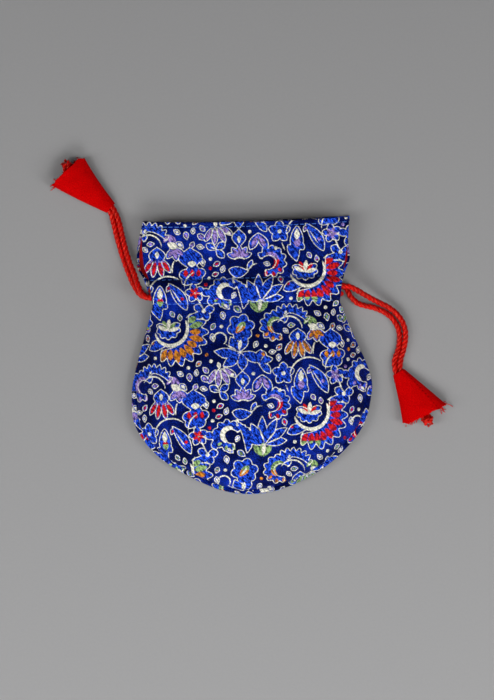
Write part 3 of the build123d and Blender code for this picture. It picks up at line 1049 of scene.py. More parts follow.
@dataclass
class WovenPattern:
    """The repeat of the brocade, kept as distances to its outlines over one cell."""

    across: tuple[float, float] = (59.8, 24.9)
    along: float = 62.4
    pitch: float = 0.2
    reach: float = 2.4
    growth: float = 1.07
    phase: tuple[float, float] = (29.2, -32.2)
    fillers: int = 30
    clearance: float = 2.38
    petal_gap: float = 0.16
    layers: dict = field(default_factory=dict)

    def figures(self) -> list[tuple[float, float, float, Motif]]:
        """Place, turn and figure of everything in one repeat.

        Returns:
            Tuples of x, y, turn in degrees and the figure.
        """
        placed = [
            (0.0, 0.0, 0.0, crown_flower()),
            (-4.4, 21.0, 0.0, arch_bud()),
            (9.8, 18.6, -8.0, petal_cluster()),
            (20.4, 22.8, 0.0, comma_flower()),
            (37.4, 22.4, 0.0, fan_spray()),
            (26.6, 7.0, 0.0, seed_flower()),
            (41.8, 7.2, 0.0, comma_flower(plain=True)),
            (51.0, 12.6, 0.0, fringe_leaf()),
            (51.0, -0.6, 0.0, tulip()),
            (6.2, -28.6, 0.0, hooded_bell()),
            (25.6, -3.4, 0.0, star_lily()),
            (17.4, -12.4, 12.0, tulip(27.0, 7.6, False)),
            (35.2, -16.8, 0.0, petal_pair()),
            (44.4, -13.4, 0.0, open_flower()),
            (26.8, -19.4, 0.0, lotus()),
            (17.4, -20.6, 0.0, sprig()),
            (28.8, -28.8, 0.0, pointing_leaf()),
            (40.0, -26.4, 0.0, comma_flower(True, True)),
            (-3.2, -15.4, 0.0, small_figure()),
            (3.0, -38.6, 0.0, Motif([], [], [], [petal(0, 0, 62, 9.4, 0.6, 0.2)])),
        ]
        seeds = [(14.6, 7.6), (19.0, 12.4), (25.4, 15.0), (32.8, -0.6), (4.0, -14.2)]
        seeds += [(1.2, -18.2), (6.4, -18.4), (10.8, -26.0), (10.6, -15.0), (46.0, 13.0)]
        seeds += [(57.4, 4.0), (20.4, 16.6), (55.6, -12.4), (14.4, 2.8), (36.0, -5.0)]
        for index, (x, y) in enumerate(seeds):
            kind = index % 3
            placed.append((x, y, 40.0 * kind - 30, seed(index % 2 == 0, 3.0 + 0.4 * kind)))
        dots = [(1.6, 20.4), (13.4, -7.4), (12.0, 26.4), (42.6, -20.6)]
        dots += [(-6.6, -28.6), (24.0, -33.4), (47.4, 26.0), (22.4, -13.6)]
        for index, (x, y) in enumerate(dots):
            placed.append((x, y, 0.0, dot(index % 2 == 0)))
        return placed

    def draw(self) -> None:
        """Fills the layers with signed distances, in mm, positive inside."""
        width, height = self.across[0], self.along
        shape = (int(height / self.pitch) + 1, int(width / self.pitch) + 1)
        ys = np.arange(shape[0]) * height / (shape[0] - 1)
        xs = np.arange(shape[1]) * width / (shape[1] - 1)
        self.layers = {name: np.full(shape, -self.reach) for name in ("motif", "cream", "accent", "line")}
        for x, y, turn, motif in self.figures():
            self.draw_figure(x, y, turn, motif, xs, ys)
        for index in range(self.fillers):
            taken = np.maximum.reduce(list(self.layers.values()))
            row, column = np.unravel_index(np.argmin(taken), taken.shape)
            if taken[row, column] > -self.clearance:
                break
            filler = dot(index % 4 == 0) if index % 3 == 0 else seed(index % 2 == 0, 2.5 + 0.3 * (index % 3))
            self.draw_figure(xs[column], ys[row], 47.0 * index, filler, xs, ys)
        LOG.info("pattern drawn: %d by %d", *shape)

    def draw_figure(
        self, x: float, y: float, turn: float, motif: Motif, xs: np.ndarray, ys: np.ndarray
    ) -> None:
        """Adds one figure to the layers.

        Args:
            x: Its middle, across.
            y: Its middle, along.
            turn: Its turn in degrees.
            motif: The figure.
            xs: Places of the layers' columns.
            ys: Places of the layers' rows.
        """
        a = math.radians(turn)
        spin = np.array([[math.cos(a), math.sin(a)], [-math.sin(a), math.cos(a)]])
        groups = (motif.fills, motif.creams, motif.accents, motif.lines)
        for name, shapes in zip(("motif", "cream", "accent", "line"), groups):
            for outline in shapes:
                ring = outline @ spin * self.growth + (x, y)
                self.draw_shape(self.layers[name], ring, xs, ys, name == "accent")

    def draw_shape(
        self, layer: np.ndarray, outline: np.ndarray, xs: np.ndarray, ys: np.ndarray, apart: bool
    ) -> None:
        """Joins one outline, and its repeats, to a layer.

        Args:
            layer: Distances over the cell, changed in place.
            outline: Points of the outline, in mm.
            xs: Places of the layer's columns.
            ys: Places of the layer's rows.
            apart: Whether a gap stays between shapes that overlap.
        """
        for i in (-1, 0, 1):
            for j in (-2, -1, 0, 1, 2):
                ring = outline + (i * self.across[0], i * self.across[1] + j * self.along)
                low, high = ring.min(0) - self.reach, ring.max(0) + self.reach
                columns = np.flatnonzero((xs >= low[0]) & (xs <= high[0]))
                rows = np.flatnonzero((ys >= low[1]) & (ys <= high[1]))
                if not len(columns) or not len(rows):
                    continue
                window = (slice(rows[0], rows[-1] + 1), slice(columns[0], columns[-1] + 1))
                px, py = np.meshgrid(xs[window[1]], ys[window[0]])
                before, new = layer[window], self.inside_distance(px, py, ring)
                joined = np.maximum(before, new)
                if apart:
                    joined = np.where((before > 0) & (new > 0), np.abs(before - new) - self.petal_gap, joined)
                layer[window] = joined

    def inside_distance(self, px: np.ndarray, py: np.ndarray, ring: np.ndarray) -> np.ndarray:
        """Distance of points to a closed outline, positive inside it.

        Args:
            px: Points, across.
            py: Points, along.
            ring: The outline.

        Returns:
            The distances, no lower than the pattern's reach.
        """
        nearest = np.full(px.shape, 1e9)
        odd = np.zeros(px.shape, bool)
        for (x0, y0), (x1, y1) in zip(ring, np.roll(ring, -1, 0)):
            dx, dy = x1 - x0, y1 - y0
            span = dx * dx + dy * dy
            if span < 1e-12:
                continue
            t = np.clip(((px - x0) * dx + (py - y0) * dy) / span, 0, 1)
            nearest = np.minimum(nearest, (px - x0 - t * dx) ** 2 + (py - y0 - t * dy) ** 2)
            if y0 != y1:
                odd ^= ((y0 > py) != (y1 > py)) & (px < x0 + (py - y0) * dx / dy)
        distance = np.sqrt(nearest)
        return np.maximum(np.where(odd, distance, -distance), -self.reach)

    def sample(self, name: str, x: np.ndarray, y: np.ndarray) -> np.ndarray:
        """Distances of one layer at places on the cloth.

        Args:
            name: Which layer.
            x: Places across the cloth, in mm.
            y: Places along the cloth, in mm.

        Returns:
            Distance at each place.
        """
        layer = self.layers[name]
        x, y = x - self.phase[0], y - self.phase[1]
        column = np.floor(x / self.across[0])
        u = (x / self.across[0] - column) * (layer.shape[1] - 1)
        v = np.mod((y - column * self.across[1]) / self.along, 1.0) * (layer.shape[0] - 1)
        c = np.minimum(u.astype(int), layer.shape[1] - 2)
        r = np.minimum(v.astype(int), layer.shape[0] - 2)
        fu, fv = u - c, v - r
        low = layer[r, c] * (1 - fu) + layer[r, c + 1] * fu
        high = layer[r + 1, c] * (1 - fu) + layer[r + 1, c + 1] * fu
        return low * (1 - fv) + high * fv


# ---------------------------------------------------------------- shape of the bag


@dataclass
class BagShape:
    """Sizes of the bag, and the levels of its cloth over the surface it lies on."""

    belly_edge: list = field(
        default_factory=lambda: [
            (38.8, 22.5),
            (44.4, 8.0),
            (50.4, -6.6),
            (51.65, -16.5),
            (47.0, -32.3),
            (34.1, -46.2),
            (18.0, -55.6),
            (1.5, -59.6),
            (-15.8, -57.1),
            (-37.8, -45.0),
            (-49.9, -30.5),
            (-51.65, -16.0),
            (-49.4, -3.6),
            (-45.3, 9.9),
            (-41.6, 22.5),
        ]
    )
    front_sides: tuple = (
        [(-41.6, 22.5), (-43.1, 34.3), (-44.9, 40.0), (-45.6, 50.0), (-44.9, 59.2)],
        [(38.8, 22.5), (40.4, 34.4), (43.1, 50.0), (43.5, 58.8)],
    )
    back_sides: tuple = (
        [(-41.6, 22.5), (-45.4, 34.3), (-48.1, 40.0), (-47.7, 49.0), (-45.3, 59.4)],
        [(38.8, 22.5), (41.2, 34.4), (43.9, 41.5), (43.4, 49.0), (44.2, 59.6)],
    )
    front_top_sag: float = 1.1
    back_top_sag: float = 0.8
    belly_top: float = 22.5
    row_lower: float = 23.4
    row_upper: float = 33.8
    casing_middle: float = 28.6
    hinge: float = 34.4
    flap_length: float = 23.0
    top_stitch: float = 56.6
    back_top_stitch: float = 57.6
    back_top_level: float = 0.95
    flat_front: float = 8.85
    casing_swell: float = 2.5
    flap_droop: float = 0.4
    crown: float = 16.8
    crown_y: float = -14.0
    seam: float = 4.1
    back_roll: float = 1.3
    back_roll_width: float = 15.0
    shoulder_belly: float = 26.0
    shoulder_neck: float = 8.0
    shoulder_power: float = 2.2
    lining_front: float = 8.12
    lining_back: float = 3.1
    crease_inset: float = 1.9

    def __post_init__(self) -> None:
        """Traces the sewn edge once."""
        self.edge = smooth_curve(self.belly_edge, 400)
        self.bottom = int(np.argmin(self.edge[:, 1]))

    def side_lines(self, face: Face) -> tuple[np.ndarray, np.ndarray]:
        """Left and right edges of one face, each from the bottom to the top corner.

        Args:
            face: Which face.

        Returns:
            Two arrays of points.
        """
        sides = self.front_sides if face is Face.FRONT else self.back_sides
        left = np.vstack([self.edge[self.bottom :], smooth_curve(sides[0], 160)[1:]])
        right = np.vstack([self.edge[self.bottom :: -1], smooth_curve(sides[1], 160)[1:]])
        return left, right

    def edge_distance(self, x: np.ndarray, y: np.ndarray) -> np.ndarray:
        """Distance in from the sewn edge."""
        flat_x, flat_y = x.ravel(), y.ravel()
        nearest = np.full(flat_x.shape, 1e9)
        for px, py in self.edge[::2]:
            nearest = np.minimum(nearest, (flat_x - px) ** 2 + (flat_y - py) ** 2)
        return np.sqrt(nearest).reshape(x.shape)

    def shoulder(self, distance: np.ndarray, width: np.ndarray) -> np.ndarray:
        """0 at the sewn edge and 1 from the width inwards."""
        return 1 - (1 - np.clip(distance / width, 0, 1)) ** self.shoulder_power

    def front_level(self, x: np.ndarray, y: np.ndarray) -> np.ndarray:
        """Smooth level of the front's outer face, before its creases.

        Args:
            x: Places across.
            y: Places along.

        Returns:
            The levels, in mm.
        """
        toward = np.clip((self.belly_top - y) / (self.belly_top - self.crown_y), 0, 1)
        crown = self.flat_front + (self.crown - self.flat_front) * np.sin(math.pi / 2 * toward)
        width = self.shoulder_neck + (self.shoulder_belly - self.shoulder_neck) * smoothstep(toward)
        drop = (crown - self.seam) * (1 - self.shoulder(self.edge_distance(x, y), width))
        drop *= 1 - smoothstep((y - 15.0) / 8.5)
        middle = (self.row_lower + self.row_upper) / 2
        half = (self.row_upper - self.row_lower) / 2
        across = np.clip(1 - ((y - middle) / half) ** 2, 0, 1)
        swell = self.casing_swell * across**0.6
        droop = self.flap_droop * np.clip((y - self.hinge) / self.flap_length, 0, 1)
        return crown - drop + swell - droop

    def front_creases(self, x: np.ndarray, y: np.ndarray) -> np.ndarray:
        """Gathers at the rows, soft folds of the belly, the pinch under each row and the sewn crease below.

        Args:
            x: Places across.
            y: Places along.

        Returns:
            Changes of level, in mm.
        """
        distance = self.edge_distance(x, y)
        inner = smoothstep(distance / 9.0)
        belly = 1 - smoothstep((y - 14.0) / 8.0)
        folds = soft_noise(x, y, 34.0, SEED, 3) * 0.62 * belly * inner
        fine = soft_noise(x, y, 9.0, SEED + 1, 2) * 0.13 * belly * inner
        gathers = np.zeros(x.shape)
        for row in (self.row_lower, self.row_upper, self.top_stitch):
            near = np.exp(-np.abs(y - row) / 2.6)
            gathers += near * 0.3 * soft_noise(x, y * 0.3, 5.2, SEED + 2 + int(row), 2)
            gathers -= 0.36 * np.exp(-(((y - row) / 0.62) ** 2))
        header = smoothstep((y - self.row_upper) / 3.0)
        gathers += header * 0.5 * soft_noise(x, y, 17.0, SEED + 5, 2) * smoothstep((58.0 - y) / 4.0)
        casing = np.exp(-(((y - self.casing_middle) / 4.2) ** 2))
        gathers += casing * 0.34 * soft_noise(x, y * 0.5, 11.0, SEED + 6, 2)
        below = smoothstep((-8.0 - y) / 14.0)
        crease = -1.25 * below * np.exp(-(((distance - self.crease_inset) / 0.62) ** 2))
        return folds + fine + gathers + crease

    def back_level(self, x: np.ndarray, y: np.ndarray) -> np.ndarray:
        """Level of the back's outer face, which lies on the surface and rolls up to the sewn edge.

        Args:
            x: Places across.
            y: Places along.

        Returns:
            The levels, in mm.
        """
        lift = self.back_roll * (1 - smoothstep((y - 4) / 17))
        roll = 1 - self.shoulder(self.edge_distance(x, y), self.back_roll_width)
        level = 0.06 + lift * roll
        for row in (self.row_lower, self.row_upper):
            level = level + 0.34 * np.exp(-(((y - row) / 0.9) ** 2))
            near = np.exp(-np.abs(y - row) / 2.2)
            level = level + 0.1 * near * (1 + soft_noise(x, y * 0.3, 5.0, SEED + 20 + int(row), 2))
        belly = 1 - smoothstep((y - 16.0) / 8.0)
        ripple = soft_noise(x, y, 22.0, SEED + 9, 3)
        return level + belly * 0.16 * (1 + ripple) * smoothstep(self.edge_distance(x, y) / 5.0)


@dataclass
class ClothPanel:
    """One layer of cloth over the whole of one face, from the bottom of the belly to the mouth."""

    shape: BagShape
    face: Face
    spacing: float = 0.39
    hem: float = 2.0
    back_side_hem: float = 0.7
    back_wall: float = 0.8
    wall_gap: float = 2.0
    hem_bulge: tuple = (0.0, 0.17, 0.24, 0.17, 0.0)
    hem_drop: tuple = (0.0, 0.12, 0.3, 0.48, 0.6, 0.62)
    wall_bulge: tuple = (0.0, 0.3, 0.42, 0.36, 0.16, -0.3)
    wall_drop: tuple = (0.0, 0.12, 0.34, 0.6, 0.86, 1.0)
    edge_waver: float = 0.3

    def rows(
        self, left: np.ndarray, right: np.ndarray, sag: float, spacing: float
    ) -> tuple[np.ndarray, np.ndarray]:
        """Grid of places in plan, row by row.

        Args:
            left: Left edge from the bottom up.
            right: Right edge from the bottom up.
            sag: Dip of the top edge at its middle.
            spacing: Distance between rows and between columns.

        Returns:
            Arrays of x and y.
        """
        low, high = left[0, 1], left[-1, 1]
        start = np.arange(0.06, 1.0, 0.075) ** 2 * 3.0
        levels = np.concatenate([low + start, np.arange(low + start[-1] + spacing, high, spacing), [high]])
        share = (levels - low) / (high - low)
        left_y = levels
        right_y = low + share * (right[-1, 1] - low)
        left_x = np.interp(left_y, left[:, 1], left[:, 0])
        right_x = np.interp(right_y, right[:, 1], right[:, 0])
        count = int((max(right_x - left_x)) / spacing)
        u = np.linspace(0, 1, count)
        x = left_x[:, None] + (right_x - left_x)[:, None] * u
        y = left_y[:, None] + (right_y - left_y)[:, None] * u
        bow = smoothstep((share - 0.83) / 0.17)[:, None]
        wave = self.edge_waver * soft_noise(u * 60.0, u * 0.0, 15.0, SEED + 9, 2)
        return x, y + bow * (wave * np.sin(math.pi * u) - sag * 4 * u * (1 - u))

    def frame_with_hem(
        self, x: np.ndarray, y: np.ndarray, z: np.ndarray, inward: float
    ) -> tuple[np.ndarray, ...]:
        """Adds the turned-over hem round the flap, and the side wall round the belly.

        Args:
            x: Grid of places across.
            y: Grid of places along.
            z: Grid of levels.
            inward: -1 where the bag's inside is below the cloth, 1 where it is above.

        Returns:
            The larger grids of x, y and z.
        """
        front = self.face is Face.FRONT
        top_out = np.array([*self.hem_bulge, -self.hem])
        hem_out = np.array([*self.hem_bulge, -self.hem if front else -self.back_side_hem])
        hem_drop = np.array(self.hem_drop)
        reach = self.shape.seam - self.wall_gap if front else self.back_wall
        wall_out = np.array(self.wall_bulge)
        wall_drop = np.array(self.wall_drop) * reach
        flap = smoothstep((y[:, :1] - 18.5) / 5.0)
        out = wall_out * (1 - flap) + hem_out * flap
        drop = wall_drop * (1 - flap) + hem_drop * flap
        pad = len(hem_out) - 1
        x = np.hstack([x[:, :1] - out[:, :0:-1], x, x[:, -1:] + out[:, 1:]])
        y = np.hstack([np.repeat(y[:, :1], pad, 1), y, np.repeat(y[:, -1:], pad, 1)])
        z = np.hstack([z[:, :1] + inward * drop[:, :0:-1], z, z[:, -1:] + inward * drop[:, 1:]])
        over_x = np.repeat(x[-1:], pad, 0)
        over_y = y[-1:] + top_out[1:, None]
        over_z = z[-1:] + inward * hem_drop[1:, None]
        return np.vstack([x, over_x]), np.vstack([y, over_y]), np.vstack([z, over_z])

    def cloth_place(self, x: np.ndarray, y: np.ndarray, z: np.ndarray) -> tuple[np.ndarray, np.ndarray]:
        """Places measured along the cloth, from the middle of its lower row of stitches.

        Args:
            x: Grid of places across.
            y: Grid of places along.
            z: Grid of levels.

        Returns:
            Distances across and along the cloth.
        """
        step = np.hypot(np.diff(x, axis=1), np.diff(z, axis=1) * 0.8)
        run = np.hstack([np.zeros((len(x), 1)), np.cumsum(step, axis=1)])
        middle = np.array([np.interp(0.0, row, dist) for row, dist in zip(x, run)])
        climb = np.hypot(np.diff(y[:, ::4], axis=0), np.diff(z[:, ::4], axis=0) * 0.6)
        climb = np.vstack([np.zeros((1, climb.shape[1])), np.cumsum(climb, axis=0)])
        centre = climb[:, climb.shape[1] // 2]
        start = np.interp(self.shape.row_lower, y[:, y.shape[1] // 2], centre)
        along = (centre - start + self.shape.row_lower)[:, None] + (y - y[:, y.shape[1] // 2][:, None])
        return run - middle[:, None], along


@dataclass
class BrocadePanel(ClothPanel):
    """The patterned outer cloth of one face, belly, casing and flap in one."""

    relief: float = 0.09
    back_shift: float = 37.0
    rim_shift: tuple[float, float] = (23.0, 9.0)
    rim_top: float = -14.0
    line_half_width: float = 0.34
    lowest: float = 0.02

    def build(self, pattern: WovenPattern, material: bpy.types.Material) -> bpy.types.Object:
        """Makes the cloth with its turned hem, woven relief and pattern.

        Args:
            pattern: The drawn repeat.
            material: The brocade.

        Returns:
            The piece.
        """
        shape = self.shape
        front = self.face is Face.FRONT
        left, right = shape.side_lines(self.face)
        x, y = self.rows(left, right, shape.front_top_sag if front else shape.back_top_sag, self.spacing)
        if front:
            z = shape.front_level(x, y)
            across, along = self.cloth_place(x, y, z)
            z = z + shape.front_creases(x, y)
        else:
            z = shape.back_level(x, y)
            across, along = self.cloth_place(x, y, z)
            across = self.back_shift - across
        beyond = (shape.edge_distance(x, y) < shape.crease_inset) & (y < self.rim_top) & front
        across = across + np.where(beyond, self.rim_shift[0], 0.0)
        along = along + np.where(beyond, self.rim_shift[1], 0.0)
        fields = {name: pattern.sample(name, across, along) for name in pattern.layers}
        raised = smoothstep((fields["motif"] + 0.35) / 0.7) * 0.7
        line = self.line_half_width - np.abs(fields["motif"])
        line = np.maximum(line, np.maximum(fields["line"], fields["cream"]))
        raised = np.maximum(raised, smoothstep((line + 0.1) / 0.3))
        outward = 1.0 if front else -1.0
        z = z + outward * self.relief * (raised if front else np.zeros(x.shape))
        x, y, z = self.frame_with_hem(x, y, z, -outward)
        pad = x.shape[1] - across.shape[1]
        widen = [(0, pad // 2), (pad // 2, pad // 2)]
        rim = slice(0, pad // 2 + 1)
        steps = np.hypot(np.diff(x[:, rim], axis=1), np.diff(z[:, rim], axis=1))
        hem_run = np.cumsum(steps[:, ::-1], axis=1)
        grown = np.pad(across, widen, mode="edge")
        rows = len(across)
        grown[:rows, : pad // 2] -= hem_run[:rows, ::-1]
        grown[:rows, -(pad // 2) :] += hem_run[:rows]
        lengthened = np.pad(along, widen, mode="edge")
        lengthened[rows:] += np.linspace(0.3, 3.0, len(x) - rows)[:, None]
        z = np.maximum(z, self.lowest)
        faces = grid_faces(*x.shape, flip=not front)
        points = np.stack([x, y, z], -1).reshape(-1, 3)
        piece = mesh_object(f"brocade_{self.face.value}", points, faces, material)
        for name in pattern.layers:
            float_attribute(piece, name, pattern.sample(name, grown, lengthened))
        vector_attribute(piece, "cloth_place", np.stack([grown, lengthened, np.zeros_like(z)], -1))
        return piece


@dataclass
class LiningPanel(ClothPanel):
    """The satin inside one face, down to the bottom of the belly."""

    spacing: float = 0.95
    side_inset: float = 0.9
    slit_inset: float = 2.6
    top_inset: float = 0.9
    below_front: float = 1.15
    seam_gap: float = 1.3
    above_back: float = 0.75

    def build(self, material: bpy.types.Material) -> bpy.types.Object:
        """Makes the lining, which stops short of the slits and of the hem.

        Args:
            material: The satin.

        Returns:
            The piece.
        """
        shape = self.shape
        front = self.face is Face.FRONT
        left, right = shape.side_lines(self.face)
        x, y = self.rows(left, right, shape.front_top_sag if front else shape.back_top_sag, self.spacing)
        middle = (x[:, :1] + x[:, -1:]) / 2
        slit = np.exp(-(((y - shape.casing_middle) / 5.6) ** 4))
        inset = self.side_inset + self.slit_inset * slit
        half = np.maximum(x[:, -1:] - middle, 0.01)
        x = middle + (x - middle) * np.maximum(half - inset, half * 0.2) / half
        y = np.minimum(y, y[-1] - self.top_inset)
        wave = 0.12 * soft_noise(x, y, 14.0, SEED + 30, 3)
        if front:
            near_seam = np.exp(-((shape.edge_distance(x, y) / 5.0) ** 2)) * smoothstep((10.0 - y) / 8.0)
            outer = shape.front_level(x, y) - self.below_front - self.seam_gap * near_seam
            casing = smoothstep((y - 20.0) / 3.4) * (1 - smoothstep((y - 33.0) / 2.0))
            flap = shape.lining_front - shape.flap_droop * (y - shape.hinge) / shape.flap_length
            z = np.where(y > 33.0, np.minimum(outer, flap), outer)
            z = z * (1 - casing) + shape.lining_front * casing + wave * smoothstep((y - 10.0) / 10.0) * 0.5
        else:
            outer = shape.back_level(x, y) + self.above_back
            casing = np.clip(1 - ((y - shape.casing_middle) / 5.3) ** 2, 0, 1) ** 0.7
            z = outer + (shape.lining_back - 0.9) * casing + 0.3 * wave
            z = z + 0.1 * smoothstep((y - 34.0) / 3.0)
        points = np.stack([x, y, z], -1).reshape(-1, 3)
        faces = grid_faces(*x.shape, flip=front)
        piece = mesh_object(f"lining_{self.face.value}", points, faces, material)
        vector_attribute(piece, "cloth_place", np.stack([x, y, np.zeros_like(z)], -1))
        return piece


# ---------------------------------------------------------------- threads and cords


def moving_frames(path: np.ndarray) -> tuple[np.ndarray, np.ndarray, np.ndarray]:
    """Directions along, across and above a path, without twist.

    Args:
        path: Points along the path.

    Returns:
        Three arrays of unit vectors.
    """
    along = np.gradient(path, axis=0)
    along /= np.linalg.norm(along, axis=1)[:, None]
    across = np.zeros_like(path)
    side = np.cross(np.array([0, 0, 1.0]), along[0])
    side = side if np.linalg.norm(side) > 1e-6 else np.array([1.0, 0, 0])
    for i, heading in enumerate(along):
        side = side - heading * np.dot(side, heading)
        side = side / np.linalg.norm(side)
        across[i] = side
    return along, across, np.cross(along, across)


def even_path(path: np.ndarray, step: float) -> np.ndarray:
    """Points of a path, spread evenly along it at about the step given."""
    run = np.concatenate([[0], np.cumsum(np.linalg.norm(np.diff(path, axis=0), axis=1))])
    wanted = np.linspace(0, run[-1], max(3, int(run[-1] / step)))
    return np.stack([np.interp(wanted, run, path[:, i]) for i in range(3)], 1)


@dataclass(frozen=True)
class TwistedCord:
    """A cord of plies laid round each other."""

    diameter: float = 2.6
    ply_share: float = 0.53
    lay_length: float = 6.4
    sides: int = 9
    plies: int = 3

    def strands(self, path: np.ndarray, start_run: float = 0.0) -> tuple[np.ndarray, list, np.ndarray]:
        """Surface of the plies along a path.

        Args:
            path: Points of the cord's centreline, in mm, evenly spread.
            start_run: Distance along the cord at which the path starts.

        Returns:
            Vertices, faces and the fibres' own places.
        """
        along, across, above = moving_frames(path)
        step = np.linalg.norm(np.diff(path, axis=0), axis=1)
        run = start_run + np.concatenate([[0], np.cumsum(step)])
        radius = self.diameter / 2 * self.ply_share
        offset = self.diameter / 2 - radius
        ring = np.linspace(0, math.tau, self.sides, endpoint=False)
        vertices, faces, places = [], [], []
        for ply in range(self.plies):
            turn = math.tau * run / self.lay_length + math.tau * ply / self.plies
            out = np.cos(turn)[:, None] * across + np.sin(turn)[:, None] * above
            middle = path + out * offset
            lean = np.gradient(middle, axis=0)
            lean /= np.linalg.norm(lean, axis=1)[:, None]
            side = np.cross(lean, out)
            side /= np.linalg.norm(side, axis=1)[:, None]
            normal = np.cross(side, lean)
            swell = radius * (1 + 0.05 * np.sin(run * 0.9 + ply) + 0.04 * np.sin(run * 2.3 + 2 * ply))
            taper = np.clip(np.minimum(run - run[0], run[-1] - run) / radius, 0.0, 1.0)
            swell = swell * np.sqrt(np.clip(1 - (1 - taper) ** 2, 0.02, 1))
            around = np.cos(ring)[None, :, None] * normal[:, None]
            around = around + np.sin(ring)[None, :, None] * side[:, None]
            skin = middle[:, None] + swell[:, None, None] * around
            base = sum(len(v) for v in vertices)
            quads = grid_faces(len(path), self.sides, closed=True)
            faces += [tuple(n + base for n in quad) for quad in quads]
            faces += [tuple(base + n for n in range(self.sides - 1, -1, -1))]
            last = base + (len(path) - 1) * self.sides
            faces += [tuple(last + n for n in range(self.sides))]
            vertices.append(skin.reshape(-1, 3))
            spread_run = np.repeat(run[:, None], self.sides, 1)
            spread_ring = np.cos(np.repeat(ring[None], len(path), 0) + run[:, None] * 0.5) * radius * 1.5
            own = np.full_like(spread_ring, ply * 7.0)
            places.append(np.stack([spread_ring, spread_run * 0.8, own], -1).reshape(-1, 3))
        return np.vstack(vertices), faces, np.vstack(places)


class ThreadBundle:
    """Lengths of cord or thread gathered into one piece."""

    def __init__(self) -> None:
        """Starts with nothing in it."""
        self.vertices, self.faces, self.places = [], [], []
        self.count = 0

    def add(self, cord: TwistedCord, line: np.ndarray, start_run: float = 0.0) -> None:
        """Adds one length.

        Args:
            cord: Its make-up.
            line: Points of its centreline, in mm.
            start_run: Distance along the cord at which the line starts.
        """
        skin, faces, place = cord.strands(line, start_run)
        self.vertices.append(skin)
        self.places.append(place)
        self.faces += [tuple(n + self.count for n in corners) for corners in faces]
        self.count += len(skin)

    def piece(self, name: str, material: bpy.types.Material) -> bpy.types.Object:
        """Makes the piece.

        Args:
            name: Its name.
            material: Its finish.

        Returns:
            The piece, which carries the fibres' places.
        """
        piece = mesh_object(name, np.vstack(self.vertices), self.faces, material)
        vector_attribute(piece, "fibre_place", np.vstack(self.places))
        return piece


@dataclass
class StitchRow:
    """Separate stitches of two-ply thread that follow the cloth."""

    name: str
    places: np.ndarray
    outward: float
    length: float = 1.9
    pitch: float = 2.6
    lowest: float = 0.19
    points: int = 13
    thread: TwistedCord = TwistedCord(diameter=0.46, ply_share=0.6, lay_length=0.9, sides=6, plies=2)

    def build(self, material: bpy.types.Material) -> bpy.types.Object:
        """Makes the row.

        Args:
            material: The thread's finish.

        Returns:
            The piece.
        """
        run = np.concatenate([[0], np.cumsum(np.linalg.norm(np.diff(self.places, axis=0), axis=1))])
        rng = np.random.default_rng(SEED + len(self.name))
        stitches = ThreadBundle()
        for i in range(int(run[-1] / self.pitch)):
            start = (i + 0.5) * self.pitch - self.length / 2 + rng.uniform(-0.12, 0.12)
            wanted = np.linspace(start, start + self.length, self.points)
            line = np.stack([np.interp(wanted, run, self.places[:, k]) for k in range(3)], 1)
            rise = 0.2 - 0.42 * np.abs(np.linspace(-1, 1, self.points)) ** 5
            line[:, 2] += self.outward * rise
            line[:, 2] = np.maximum(line[:, 2], self.lowest)
            line[:, 1] += rng.uniform(-0.05, 0.05)
            stitches.add(self.thread, line, i * 3.0)
        return stitches.piece(self.name, material)


